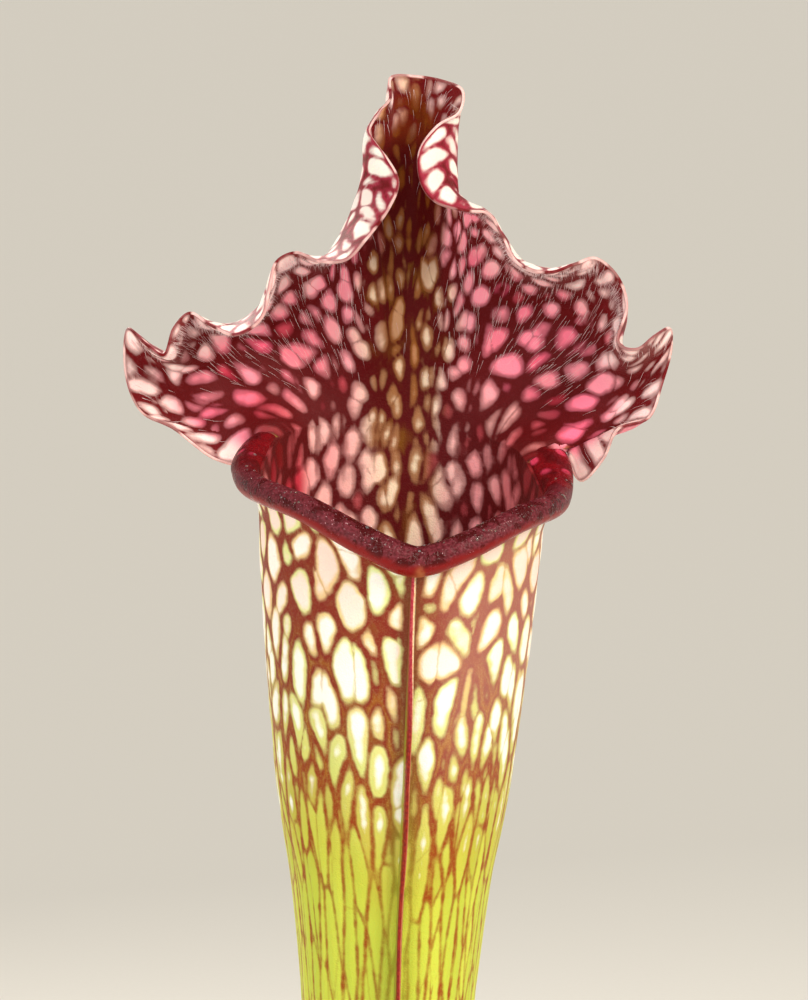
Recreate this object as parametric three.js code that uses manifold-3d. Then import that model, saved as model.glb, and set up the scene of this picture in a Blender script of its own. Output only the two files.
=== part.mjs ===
// A potted white pitcher plant: one tall trumpet leaf with a rolled lip and a frilled hood, growing from the
// crown of a short rhizome that is rooted in peat mix in a plain round nursery pot.
// Millimetres, +Z up, origin at the middle of the pot's foot. The leaf's mouth looks towards -Y.
import * as THREE from 'three';
import { mergeVertices } from 'three/addons/utils/BufferGeometryUtils.js';
import Module from 'manifold-3d';

const wasm = await Module();
wasm.setup();

const DEGREES = Math.PI / 180;
const SEAT_GAP = 0.3;             // clearance between pieces that rest in or on each other

// Pot
const POT_HEIGHT = 100;
const POT_TOP_RADIUS = 56.5;      // outside of the wall, where it would meet the rim's top
const POT_FOOT_RADIUS = 42;
const POT_WALL = 1.8;
const RIM_BAND_HEIGHT = 13;
const RIM_BAND_RADIUS = 60;
const RIM_BAND_DRAFT = 1.0;       // the band is this much narrower at its lower edge
const FOOT_RECESS_RADIUS = 37;
const FOOT_RECESS = 3;
const POT_FLOOR = 2.2;
const POT_EDGE = 1;               // chamfer of the rim and the foot
const DRAIN_RADIUS = 4;
const DRAIN_RING_RADIUS = 25;
const DRAIN_COUNT = 6;
const DRAIN_SIDES = 12;
const POT_SIDES = 48;

// Peat mix
const SOIL_LEVEL = 88;            // height of the mix where it meets the pot's wall
const SOIL_MOUND = 2.5;           // how much higher it is in the middle
const SOIL_RIPPLE = 0.9;
// Waves of the surface: [radians per mm along x, along y, shift, share of the ripple].
const SOIL_WAVES = [[0.21, 0.11, 0.6, 0.6], [-0.16, 0.19, 2.1, 0.5], [0.09, -0.31, 0.0, 0.5]];
const SOIL_SIDES = 40;
const SOIL_RINGS = 9;

// Rhizome, roots, bracts and old leaf bases
const CROWN_Z = 91;               // where the bracts leave the crown
const CROWN_RADIUS = 8.4;
const CROWN_FLATTENING = 0.8;
const CROWN_DEPTH = 4.6;          // the crown's middle lies this far below where the bracts leave it
// The creeping stem, from its old end to under the crown.
const STEM_PATH = [[-3, 30, 80], [-2, 22, 83], [0, 11, 85], [0, 2, 85.5], [0, -6, 85.5]];
const STEM_OLD_RADIUS = 4.6;
const STEM_RADIUS = 7.6;
const STEM_STEPS = 16;
const STEM_SIDES = 10;
const STEM_RINGS = 4;             // old leaf scars ring the stem
const STEM_RING_HEIGHT = 0.5;
const ROOT_RADIUS = 1.1;
const ROOT_TIP_RADIUS = 0.6;
const ROOT_COUNT = 5;
const ROOT_TOP_Z = 83;
const ROOT_SPACING = 3.2;         // from root to root along the stem
const ROOT_REACH = [12, 20];      // shortest and longest, sideways
const ROOT_DEPTH = [34, 50];      // shortest and longest, downwards
const ROOT_BEND = [0.7, 0.4];     // a root's bend, as shares of its reach and depth
const BRACT_COUNT = 6;
const BRACT_HEIGHT = [9, 13];     // shortest and tallest
const BRACT_RING_RADIUS = 6.0;
const BRACT_RING_STEP = 1.3;      // every second bract stands this much further out
const BRACT_HALF_ANGLE = 39;      // half of a bract's foot, in degrees round the crown
const BRACT_TIP_ANGLE = 1.5;
const BRACT_POINT = 2.2;          // power of the curve of a bract's sides
const BRACT_BELLY = 1.6;          // how far a bract swells out from its foot
const BRACT_CLOSING = 2.2;        // how far its tip comes back towards the stalk
const BRACT_THICKNESS = 1.0;
const BRACT_SINK = 2.5;           // its foot in the crown
const BRACT_ROWS = 5;
const BRACT_COLUMNS = 4;
// Bases of two older leaves, cut back: [x, y, height over the crown].
const OLD_LEAF_BASES = [[-2.2, 13, 6], [2.6, 19.5, 4]];
const OLD_BASE_RADIUS = 2.9;
const OLD_BASE_FOOT_Z = 84;
const OLD_BASE_LEAN = 0.1;        // away from the crown, mm per mm
const SOCKET_SIDES = 18;
const SOCKET_TOP_Z = 121;

// Trumpet leaf: the tube
const LEAF_FOOT_Z = 87;           // lower end of the leaf stalk, in its socket in the crown
const STALK_Z = 92;               // where the stalk comes out of the crown
const MOUTH_Z = 312;              // height of the mouth's sides
const LEAN = 0.00907;             // sideways lean at the stalk, mm per mm
const LEAN_GROWTH = 5.06e-5;      // how the lean grows with height, per mm
const TUBE_WALL = 1.2;
const HOLLOW_Z = 118;             // bottom of the hollow
const HOLLOW_DIP = 1.5;
const MOUTH_DEPTH_RATIO = 0.97;   // front-to-back width of the tube over its side-to-side width
const TUBE_SIDES = 36;
const LIP_FLARE = 1.1;            // how far the wall turns out under the lip
const LIP_FLARE_HEIGHT = 5;
const LIP_FLARE_FADE = 45;        // the flare dies away over this angle towards the lip's ends
// Outside radius of the tube at heights above the stalk's start.
const TUBE_RADIUS = [
  [-10, 3.6], [0, 3.7], [20, 3.8], [50, 4.9], [90, 7.3], [120, 9.5], [150, 11.9], [164, 13.4],
  [179, 15.9], [194, 17.6], [209, 18.9], [220, 19.5], [232, 19.9],
];
// Where the tube has its rings, as shares of the way from its foot to the rim, outside and inside.
const TUBE_OUTER_SHARES = [
  0, 0.05, 0.14, 0.25, 0.36, 0.46, 0.55, 0.63, 0.7, 0.77, 0.84, 0.9, 0.95, 0.978, 1,
];
const TUBE_INNER_SHARES = [1, 0.975, 0.945, 0.87, 0.78, 0.68, 0.56, 0.44, 0.3, 0.14, 0];

// Mouth rim: height against the mouth's sides, by angle from the front. It dips to a spout at the front.
const RIM_HEIGHT = [
  [0, -8.3], [8, -7.5], [20, -5.7], [45, -2.2], [88, -0.2], [104, 2.0], [120, 4.8], [180, 7.0],
];
const RIM_TILT = -1.3;            // height of the rim at the mouth's right side against its middle

// Lip: a fleshy roll round the front and sides of the mouth
const LIP_END_ANGLE = 121;
const LIP_OFFSET = 1.7;           // from the tube's outside to the middle of the roll
const LIP_RADIUS = [[0, 2.15], [22, 1.95], [55, 1.75], [95, 1.85], [121, 1.2]];
const LIP_STEPS = 46;
const LIP_SIDES = 8;

// Wing: the thin keel down the front of the tube
const WING_ANGLE = 5.6;           // it stands a little to the right of the front
const WING_THICKNESS = 1.0;       // at its root
const WING_EDGE_THICKNESS = 0.6;
const WING_SINK = 0.7;            // how far its root goes into the tube's wall
// How far the wing stands out of the tube, at heights above the stalk's start.
const WING_WIDTH = [[12, 0.6], [30, 2.4], [70, 3.9], [115, 4.0], [160, 2.6], [195, 1.8], [211, 1.2]];
const WING_STEPS = 18;

// Hood. Each row of the margin is [angle of the vein's root round the back of the mouth, x, y, z], from the
// lip's left end over the tip to its right end, with x, y, z from the middle of the mouth.
const HOOD_THICKNESS = 0.9;
const HOOD_ROOT_DEPTH = 3.5;      // how far the hood's sheet goes down inside the tube's wall
// The sheet starts straight up at the back of the mouth, and leans out towards the lip's ends:
const HOOD_SIDE_LEAN = 0.85;      // share of the full lean at the ends
const HOOD_LEAN_FROM = 30;        // root angle where the lean begins
const HOOD_LEAN_SPAN = 36;        // degrees over which it grows
const HOOD_LEAN_RISE = 0.3;       // how much the full lean still rises, mm per mm outwards
const HOOD_STEPS = 11;
const COLUMNS_PER_FRILL_POINT = 1.5;
const HOOD_MARGIN = [
  [-66, -22.6, 12.0, 1.2],        // left lobe, lower edge
  [-64, -26.6, 12.0, 2.6],
  [-62, -31.6, 11.0, 6.6],
  [-60, -35.9, 9.5, 9.0],
  [-57, -37.9, 8.0, 14.2],        // left tip
  [-54, -37.6, 6.0, 20.6],
  [-51, -34.8, 1.5, 18.9],
  [-49, -32.2, -0.5, 17.6],
  [-47, -31.0, 2.0, 21.0],
  [-44, -28.9, 5.0, 22.9],        // first left frill
  [-41, -26.0, 2.0, 21.4],
  [-38, -22.4, -2.5, 20.4],
  [-35, -19.0, -2.5, 22.6],
  [-32, -18.0, 0.5, 26.4],
  [-29, -17.2, 3.5, 29.8],
  [-26, -14.4, 3.5, 31.2],        // second left frill
  [-23, -11.4, 0.0, 30.2],
  [-20, -7.6, -2.4, 30.5],
  [-17, -4.6, -2.6, 33.6],
  [-14, -1.8, -2.4, 37.4],        // curled edge of the tongue
  [-11.5, -0.5, -1.8, 41.0],
  [-9.5, -2.2, -0.5, 44.4],
  [-7.5, -4.4, 3.0, 47.4],
  [-6, -2.9, 3.0, 50.4],
  [-4, -1.6, 0.5, 52.2],
  [-2.5, -1.5, 1.0, 55.0],        // tip of the tongue
  [0, 2.2, 4.0, 55.0],
  [2.5, 5.6, 3.0, 54.4],
  [4, 8.1, 0.5, 53.2],
  [6, 7.6, -0.6, 50.2],
  [8, 4.6, -1.6, 48.4],
  [10, 2.2, -2.3, 45.1],
  [12, 2.4, -2.6, 41.0],          // curled edge of the tongue
  [14.5, 4.4, -2.4, 38.3],
  [17, 8.3, -2.0, 37.1],
  [20, 11.6, 0.0, 36.6],          // first right frill
  [24, 13.6, 2.0, 33.4],
  [28, 15.6, -0.5, 29.9],
  [32, 19.6, -4.0, 28.9],
  [36, 23.3, -2.0, 30.0],
  [39, 26.3, 2.0, 30.5],          // second right frill
  [43, 29.3, 4.0, 27.8],
  [46, 30.5, 4.0, 23.8],
  [49, 29.1, 1.0, 19.3],
  [51, 31.6, -1.0, 18.4],
  [53, 34.3, 2.5, 20.0],
  [55, 36.6, 7.0, 20.7],          // right tip
  [57, 36.9, 9.0, 17.8],
  [59, 35.6, 8.0, 13.2],
  [61, 33.8, 7.5, 8.4],
  [62.5, 29.4, 5.0, 7.0],
  [64, 27.6, 8.5, 2.6],
  [65, 24.6, 11.0, -0.8],
  [66, 22.6, 12.0, 2.4],          // right lobe, lower edge
];
// The hood's body inside its frill, by the same root angle: [angle, x, y, z].
const SHOULDER_SHARE = 0.62;      // how far along each vein the body's line is crossed
const HOOD_BODY = [
  [-66, -22.4, 13.0, 2.2], [-60, -28.6, 13.0, 7.0], [-52, -29.6, 12.0, 13.6], [-44, -25.6, 12.5, 17.6],
  [-35, -19.5, 13.5, 21.6], [-27, -14.2, 13.5, 25.4], [-20, -10.4, 11.5, 29.0], [-14, -7.4, 7.5, 34.6],
  [-10, -5.4, 5.0, 40.0], [-6, -4.2, 7.0, 43.5], [0, 1.7, 11.5, 43.0], [6, 6.7, 6.0, 45.0],
  [10, 6.9, 2.5, 42.0], [14, 7.4, 4.5, 38.2], [20, 10.4, 10.5, 32.4], [27, 14.8, 13.0, 27.6],
  [35, 20.8, 13.5, 24.4], [43, 26.4, 13.0, 19.6], [50, 28.6, 12.0, 14.6], [57, 30.0, 12.5, 9.6],
  [62, 27.0, 12.5, 5.0], [66, 22.4, 13.0, 3.2],
];

const COLOURS = {
  pot: '#2b2a29',
  soil: '#3b2a1e',
  rhizome: '#6b3f2c',
  pitcher: '#d9d3b4',
};

// A smooth curve through rows of [position, value, ...], read at a position: cubic pieces with shared slopes.
function through(rows, at) {
  const last = rows.length - 1;
  const place = Math.max(rows[0][0], Math.min(rows[last][0], at));
  let k = 0;
  while (k < last - 1 && place > rows[k + 1][0]) k += 1;
  const slope = (i, c) => {
    const a = rows[Math.max(0, i - 1)];
    const b = rows[Math.min(last, i + 1)];
    return (b[c] - a[c]) / (b[0] - a[0]);
  };
  const step = rows[k + 1][0] - rows[k][0];
  const t = (place - rows[k][0]) / step;
  const values = [];
  for (let c = 1; c < rows[0].length; c += 1) {
    const start = rows[k][c] * (2 * t ** 3 - 3 * t ** 2 + 1) + slope(k, c) * step * (t ** 3 - 2 * t ** 2 + t);
    const end = rows[k + 1][c] * (3 * t ** 2 - 2 * t ** 3) + slope(k + 1, c) * step * (t ** 3 - t ** 2);
    values.push(start + end);
  }
  return values;
}

const mix = (a, b, t) => a + (b - a) * t;
const smooth = (t) => THREE.MathUtils.smoothstep(t, 0, 1);
const middleOf = (ring) => [0, 1, 2].map((c) => ring.reduce((sum, point) => sum + point[c], 0) / ring.length);

// A size of repeat i between the ends of a range, taken in an order that mixes small and large.
function spread([least, most], i, count, stride) {
  return mix(least, most, ((i * stride) % count) / (count - 1));
}

// Closed solids and booleans
function geometryOf(vertices, triangles) {
  const geometry = new THREE.BufferGeometry();
  geometry.setAttribute('position', new THREE.Float32BufferAttribute(vertices.flat(), 3));
  geometry.setIndex(triangles.flat());
  return geometry;
}

function solidOf(geometry) {
  const bare = geometry.clone();
  bare.deleteAttribute('normal');
  bare.deleteAttribute('uv');
  const merged = mergeVertices(bare, 1e-4);
  const index = merged.index.array;
  const kept = [];
  for (let i = 0; i < index.length; i += 3) {
    const [a, b, c] = [index[i], index[i + 1], index[i + 2]];
    if (a !== b && b !== c && c !== a) kept.push(a, b, c);
  }
  const triVerts = new Uint32Array(kept);
  return new wasm.Manifold(new wasm.Mesh({
    numProp: 3, vertProperties: merged.attributes.position.array, triVerts,
  }));
}

function joined(solids) {
  return solids.reduce((all, one) => all.add(one));
}

function namedMesh(name, solid) {
  const made = solid.getMesh();
  const geometry = new THREE.BufferGeometry();
  geometry.setAttribute('position', new THREE.BufferAttribute(new Float32Array(made.vertProperties), 3));
  geometry.setIndex(new THREE.BufferAttribute(new Uint32Array(made.triVerts), 1));
  geometry.computeVertexNormals();
  const material = new THREE.MeshStandardMaterial({ color: COLOURS[name], roughness: 0.6, metalness: 0 });
  const mesh = new THREE.Mesh(geometry, material);
  mesh.name = name;
  return mesh;
}

// A closed surface from rings of points with the same count, and a point that closes each end.
function ringsBetween(startPoint, rings, endPoint) {
  const sides = rings[0].length;
  const vertices = [startPoint, ...rings.flat(), endPoint];
  const triangles = [];
  for (let s = 0; s < sides; s += 1) {
    const next = (s + 1) % sides;
    triangles.push([0, 1 + next, 1 + s]);
    for (let r = 0; r < rings.length - 1; r += 1) {
      const low = 1 + r * sides;
      const high = low + sides;
      triangles.push([low + s, low + next, high + next], [low + s, high + next, high + s]);
    }
    const top = 1 + (rings.length - 1) * sides;
    triangles.push([top + s, top + next, vertices.length - 1]);
  }
  return geometryOf(vertices, triangles);
}

// A closed sheet between two layers of points in rows and columns. The first layer lies on the side that the
// cross product of a step to the next row and a step to the next column points to. Both are split alike.
function sheetSolid(face, reverse, rows, columns) {
  const count = face.length;
  const triangles = [];
  const quad = (a, b, c, d) => triangles.push([a, b, c], [a, c, d]);
  for (let r = 0; r < rows - 1; r += 1) {
    for (let c = 0; c < columns - 1; c += 1) {
      const [near, far] = [r * columns + c, (r + 1) * columns + c];
      const [nearBack, farBack] = [count + near, count + far];
      quad(near, far, far + 1, near + 1);
      triangles.push([nearBack, farBack + 1, farBack], [nearBack, nearBack + 1, farBack + 1]);
    }
    const [left, nextLeft] = [r * columns, (r + 1) * columns];
    quad(left, count + left, count + nextLeft, nextLeft);
    const [right, nextRight] = [left + columns - 1, nextLeft + columns - 1];
    quad(right, nextRight, count + nextRight, count + right);
  }
  for (let c = 0; c < columns - 1; c += 1) {
    quad(c, c + 1, count + c + 1, count + c);
    const end = (rows - 1) * columns + c;
    quad(end, count + end, count + end + 1, end + 1);
  }
  return solidOf(geometryOf([...face, ...reverse], triangles));
}

// An upright cylinder whose flat sides lie outside the given radius
function uprightRound(radius, foot, top) {
  const corner = radius / Math.cos(Math.PI / SOCKET_SIDES);
  return solidOf(new THREE.CylinderGeometry(corner, corner, top - foot, SOCKET_SIDES)
    .rotateX(Math.PI / 2).translate(0, 0, (top + foot) / 2));
}

// A round bar along a curve, with its radius by the share of the way along it.
function bar(points, radiusAt, steps, sides) {
  const curve = new THREE.CatmullRomCurve3(points.map((p) => new THREE.Vector3(...p)));
  const frames = curve.computeFrenetFrames(steps, false);
  const rings = [];
  for (let i = 0; i <= steps; i += 1) {
    const centre = curve.getPointAt(i / steps);
    const ring = [];
    for (let s = 0; s < sides; s += 1) {
      const turn = (s / sides) * 2 * Math.PI;
      const out = frames.normals[i].clone().multiplyScalar(Math.cos(turn))
        .addScaledVector(frames.binormals[i], Math.sin(turn));
      ring.push(centre.clone().addScaledVector(out, radiusAt(i / steps)).toArray());
    }
    rings.push(ring);
  }
  return ringsBetween(curve.getPointAt(0).toArray(), rings, curve.getPointAt(1).toArray());
}

// Pot: one moulded shell with a rim band, a recessed foot and drain holes
function wallRadius(z) {
  return mix(POT_FOOT_RADIUS, POT_TOP_RADIUS, z / POT_HEIGHT);
}

function makePot() {
  const bandFoot = POT_HEIGHT - RIM_BAND_HEIGHT;
  const floorTop = FOOT_RECESS + POT_FLOOR;
  const profile = [
    [0, FOOT_RECESS],
    [FOOT_RECESS_RADIUS - POT_EDGE, FOOT_RECESS],
    [FOOT_RECESS_RADIUS, 0],
    [POT_FOOT_RADIUS - POT_EDGE, 0],
    [POT_FOOT_RADIUS, POT_EDGE],
    [wallRadius(bandFoot), bandFoot],
    [RIM_BAND_RADIUS - RIM_BAND_DRAFT, bandFoot],
    [RIM_BAND_RADIUS, POT_HEIGHT - POT_EDGE],
    [RIM_BAND_RADIUS - POT_EDGE, POT_HEIGHT],
    [wallRadius(POT_HEIGHT) - POT_WALL + POT_EDGE, POT_HEIGHT],
    [wallRadius(POT_HEIGHT) - POT_WALL, POT_HEIGHT - POT_EDGE],
    [wallRadius(floorTop) - POT_WALL, floorTop],
    [0, floorTop],
  ].map(([r, z]) => new THREE.Vector2(r, z));
  const turned = new THREE.LatheGeometry(profile, POT_SIDES).rotateX(Math.PI / 2);
  let pot = solidOf(turned);
  const drain = new THREE.CylinderGeometry(DRAIN_RADIUS, DRAIN_RADIUS, 3 * POT_FLOOR, DRAIN_SIDES)
    .rotateX(Math.PI / 2);
  for (let i = 0; i < DRAIN_COUNT; i += 1) {
    const turn = (i / DRAIN_COUNT) * 2 * Math.PI;
    const hole = drain.clone().translate(
      DRAIN_RING_RADIUS * Math.cos(turn), DRAIN_RING_RADIUS * Math.sin(turn), FOOT_RECESS + POT_FLOOR / 2,
    );
    pot = pot.subtract(solidOf(hole));
  }
  return pot;
}

// Peat mix: fills the pot to below its rim, with an uneven mounded top
function soilHeight(x, y) {
  const inside = 1 - (Math.hypot(x, y) / POT_TOP_RADIUS) ** 2;
  const heights = SOIL_WAVES.map(([kx, ky, shift, share]) => share * Math.sin(x * kx + y * ky + shift));
  const ripple = heights.reduce((sum, height) => sum + height);
  return SOIL_LEVEL + SOIL_MOUND * inside + SOIL_RIPPLE * ripple;
}

function makeSoil() {
  const chord = Math.cos(Math.PI / POT_SIDES);   // keeps the round mix inside the pot's flat sides
  const radiusAt = (z) => (wallRadius(z) - POT_WALL - SEAT_GAP) * chord;
  const bottom = FOOT_RECESS + POT_FLOOR + SEAT_GAP;
  const circle = (radius, heightAt) => {
    const ring = [];
    for (let s = 0; s < SOIL_SIDES; s += 1) {
      const turn = (s / SOIL_SIDES) * 2 * Math.PI;
      const x = radius * Math.cos(turn);
      const y = radius * Math.sin(turn);
      ring.push([x, y, heightAt(x, y)]);
    }
    return ring;
  };
  const rings = [circle(radiusAt(bottom), () => bottom)];
  const edge = radiusAt(SOIL_LEVEL - 2 * SOIL_RIPPLE);
  for (let r = SOIL_RINGS; r >= 1; r -= 1) rings.push(circle((edge * r) / SOIL_RINGS, soilHeight));
  const filling = solidOf(ringsBetween([0, 0, bottom], rings, [0, 0, soilHeight(0, 0)]));
  const outermost = BRACT_RING_RADIUS + BRACT_RING_STEP + BRACT_THICKNESS + SEAT_GAP;
  const roundCrown = uprightRound(outermost, CROWN_Z - BRACT_SINK, SOCKET_TOP_Z);
  return filling.subtract(rhizomeSolid(SEAT_GAP)).subtract(roundCrown);
}

// Rhizome: a short creeping stem with its crown at the surface and its roots in the mix. Each part can be
// grown by a margin all round, which gives the space that the mix leaves free.
function stemAndCrown(grow) {
  const stem = bar(STEM_PATH, (t) => {
    const scar = STEM_RING_HEIGHT * Math.sin(t * STEM_RINGS * 2 * Math.PI);
    return mix(STEM_OLD_RADIUS, STEM_RADIUS, smooth(t)) + scar + grow;
  }, STEM_STEPS, STEM_SIDES);
  const crown = new THREE.SphereGeometry(CROWN_RADIUS + grow, 14, 9).rotateX(Math.PI / 2)
    .scale(1, 1, CROWN_FLATTENING).translate(0, 0, CROWN_Z - CROWN_DEPTH);
  return [solidOf(stem), solidOf(crown)];
}

function root(i, grow) {
  const turn = ((i + 0.3) / ROOT_COUNT) * 2 * Math.PI;
  const reach = spread(ROOT_REACH, i, ROOT_COUNT, 2);
  const depth = spread(ROOT_DEPTH, i, ROOT_COUNT, 3);
  const along = ROOT_SPACING * (i + 1);
  const [out, down] = ROOT_BEND;
  const place = (side, drop) => [side * Math.cos(turn), along + side * Math.sin(turn), ROOT_TOP_Z - drop];
  const path = [place(0, 0), place(reach * out, depth * down), place(reach, depth)];
  return solidOf(bar(path, (t) => mix(ROOT_RADIUS, ROOT_TIP_RADIUS, t) + grow, 6, 5));
}

// One pointed bract that cups the stalk: an arched blade on an arc of a ring round the crown
function bract(i, grow) {
  const turn = ((i + 0.5) / BRACT_COUNT) * 2 * Math.PI;
  const height = spread(BRACT_HEIGHT, i, BRACT_COUNT, 5);
  const ringRadius = BRACT_RING_RADIUS + (i % 2) * BRACT_RING_STEP;
  const layer = (offset) => {
    const points = [];
    for (let r = 0; r <= BRACT_ROWS; r += 1) {
      const t = r / BRACT_ROWS;
      const half = mix(BRACT_HALF_ANGLE, BRACT_TIP_ANGLE, t ** BRACT_POINT) * DEGREES + grow / ringRadius;
      const out = ringRadius + BRACT_BELLY * t - BRACT_CLOSING * t * t + offset;
      for (let c = 0; c <= BRACT_COLUMNS; c += 1) {
        const angle = turn + half * (2 * c / BRACT_COLUMNS - 1);
        const z = mix(CROWN_Z - BRACT_SINK - grow, CROWN_Z - BRACT_SINK + height + grow, t);
        points.push([out * Math.cos(angle), out * Math.sin(angle), z]);
      }
    }
    return points;
  };
  return sheetSolid(layer(-grow), layer(BRACT_THICKNESS + grow), BRACT_ROWS + 1, BRACT_COLUMNS + 1);
}

function oldLeafBase([x, y, height], grow) {
  const length = CROWN_Z + height - OLD_BASE_FOOT_Z;
  const side = OLD_BASE_LEAN * length * Math.sign(x);
  const away = OLD_BASE_LEAN * length;
  const path = [[x, y, OLD_BASE_FOOT_Z], [x + side, y + away, CROWN_Z + height]];
  return solidOf(bar(path, () => OLD_BASE_RADIUS + grow, 3, 8));
}

function rhizomeSolid(grow) {
  const solids = stemAndCrown(grow);
  for (let i = 0; i < ROOT_COUNT; i += 1) solids.push(root(i, grow));
  for (let i = 0; i < BRACT_COUNT; i += 1) solids.push(bract(i, grow));
  for (const base of OLD_LEAF_BASES) solids.push(oldLeafBase(base, grow));
  return joined(solids);
}

function makeRhizome() {
  const radius = through(TUBE_RADIUS, 0)[0] + SEAT_GAP;
  return rhizomeSolid(0).subtract(uprightRound(radius, LEAF_FOOT_Z - SEAT_GAP, SOCKET_TOP_Z));
}

// Leaf: where its middle runs, its size, and the rim of its mouth
function leafMiddle(z) {
  const h = Math.max(0, z - STALK_Z);
  return LEAN * h + LEAN_GROWTH * h * h;
}
const MOUTH_X = leafMiddle(MOUTH_Z);

function rimZ(angle) {
  const from = Math.abs(angle - WING_ANGLE * Math.cos((angle * DEGREES) / 2));
  return MOUTH_Z + through(RIM_HEIGHT, from)[0] + RIM_TILT * Math.sin(angle * DEGREES);
}

// A point of the tube at an angle from the front and a height, moved out from its outside by `out`.
function tubePoint(angle, z, out) {
  const radius = through(TUBE_RADIUS, z - STALK_Z)[0];
  const turn = angle * DEGREES;
  return [
    leafMiddle(z) + (radius + out) * Math.sin(turn),
    -(radius * MOUTH_DEPTH_RATIO + out) * Math.cos(turn),
    z,
  ];
}

function flare(angle, z) {
  const under = 1 - smooth((Math.abs(angle) - LIP_END_ANGLE + LIP_FLARE_FADE) / LIP_FLARE_FADE);
  return LIP_FLARE * under * smooth((z - rimZ(angle) + LIP_FLARE_HEIGHT) / LIP_FLARE_HEIGHT);
}

function tubeRing(share, foot, out) {
  const ring = [];
  for (let s = 0; s < TUBE_SIDES; s += 1) {
    const angle = (s / TUBE_SIDES) * 360 - 180;
    const z = mix(foot, rimZ(angle), share);
    ring.push(tubePoint(angle, z, out + flare(angle, z)));
  }
  return ring;
}

function makeTube() {
  const rings = [
    ...TUBE_OUTER_SHARES.map((share) => tubeRing(share, LEAF_FOOT_Z, 0)),
    ...TUBE_INNER_SHARES.map((share) => tubeRing(share, HOLLOW_Z, -TUBE_WALL)),
  ];
  const foot = [leafMiddle(LEAF_FOOT_Z), 0, LEAF_FOOT_Z];
  return solidOf(ringsBetween(foot, rings, [leafMiddle(HOLLOW_Z), 0, HOLLOW_Z - HOLLOW_DIP]));
}

function makeLip() {
  const points = [];
  for (let i = 0; i <= LIP_STEPS; i += 1) {
    const angle = mix(-LIP_END_ANGLE, LIP_END_ANGLE, i / LIP_STEPS);
    points.push(tubePoint(angle, rimZ(angle), LIP_OFFSET));
  }
  const radiusAt = (t) => through(LIP_RADIUS, Math.abs(mix(-LIP_END_ANGLE, LIP_END_ANGLE, t)))[0];
  return solidOf(bar(points, radiusAt, LIP_STEPS, LIP_SIDES));
}

function makeWing() {
  const foot = WING_WIDTH[0][0] + STALK_Z;
  const top = WING_WIDTH[WING_WIDTH.length - 1][0] + STALK_Z;
  const turn = WING_ANGLE * DEGREES;
  const shift = ([x, y, z], by) => [x + by * Math.cos(turn), y + by * Math.sin(turn), z];
  const rings = [];
  for (let i = 0; i <= WING_STEPS; i += 1) {
    const z = mix(foot, top, i / WING_STEPS);
    const width = through(WING_WIDTH, z - STALK_Z)[0];
    const rootLine = tubePoint(WING_ANGLE, z, -WING_SINK);
    const edge = tubePoint(WING_ANGLE, z, width);
    rings.push([
      shift(rootLine, -WING_THICKNESS / 2), shift(edge, -WING_EDGE_THICKNESS / 2),
      shift(edge, WING_EDGE_THICKNESS / 2), shift(rootLine, WING_THICKNESS / 2),
    ]);
  }
  return solidOf(ringsBetween(middleOf(rings[0]), rings, middleOf(rings[WING_STEPS])));
}

// The hood's middle surface: at frill position u along the margin and share s from the mouth's rim to it.
function hoodPoint(u, s) {
  const [rootAngle, ...edge] = through(HOOD_MARGIN.map((row, i) => [i, ...row]), u);
  const angle = 180 - rootAngle;
  const z = rimZ(angle);
  const start = new THREE.Vector3(...tubePoint(angle, z, flare(angle, z) - TUBE_WALL / 2));
  const below = new THREE.Vector3(...tubePoint(angle, z - HOOD_ROOT_DEPTH, -TUBE_WALL / 2));
  if (s < 0) return start.clone().lerp(below, -s);
  const offset = new THREE.Vector3(MOUTH_X, 0, MOUTH_Z);
  const body = new THREE.Vector3(...through(HOOD_BODY, rootAngle)).add(offset);
  const margin = new THREE.Vector3(...edge).add(offset);
  const first = SHOULDER_SHARE;
  const second = 1 - first;
  const rise = body.clone().sub(start).divideScalar(first);
  const run = margin.clone().sub(body).divideScalar(second);
  const middleSlope = rise.clone().multiplyScalar(second).addScaledVector(run, first);
  const up = start.clone().sub(below).normalize();
  const turn = angle * DEGREES;
  const out = new THREE.Vector3(Math.sin(turn), -Math.cos(turn), HOOD_LEAN_RISE).normalize();
  const lean = HOOD_SIDE_LEAN * smooth((Math.abs(rootAngle) - HOOD_LEAN_FROM) / HOOD_LEAN_SPAN);
  const startSlope = up.lerp(out, lean).normalize().multiplyScalar(rise.length());
  const endSlope = run.clone().multiplyScalar(2).sub(middleSlope);
  const near = s < first;
  const [a, b, da, db, span] = near
    ? [start, body, startSlope, middleSlope, first]
    : [body, margin, middleSlope, endSlope, second];
  const t = near ? s / first : (s - first) / second;
  return a.clone().multiplyScalar(2 * t ** 3 - 3 * t ** 2 + 1)
    .addScaledVector(da, span * (t ** 3 - 2 * t ** 2 + t))
    .addScaledVector(b, 3 * t ** 2 - 2 * t ** 3)
    .addScaledVector(db, span * (t ** 3 - t ** 2));
}

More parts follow.
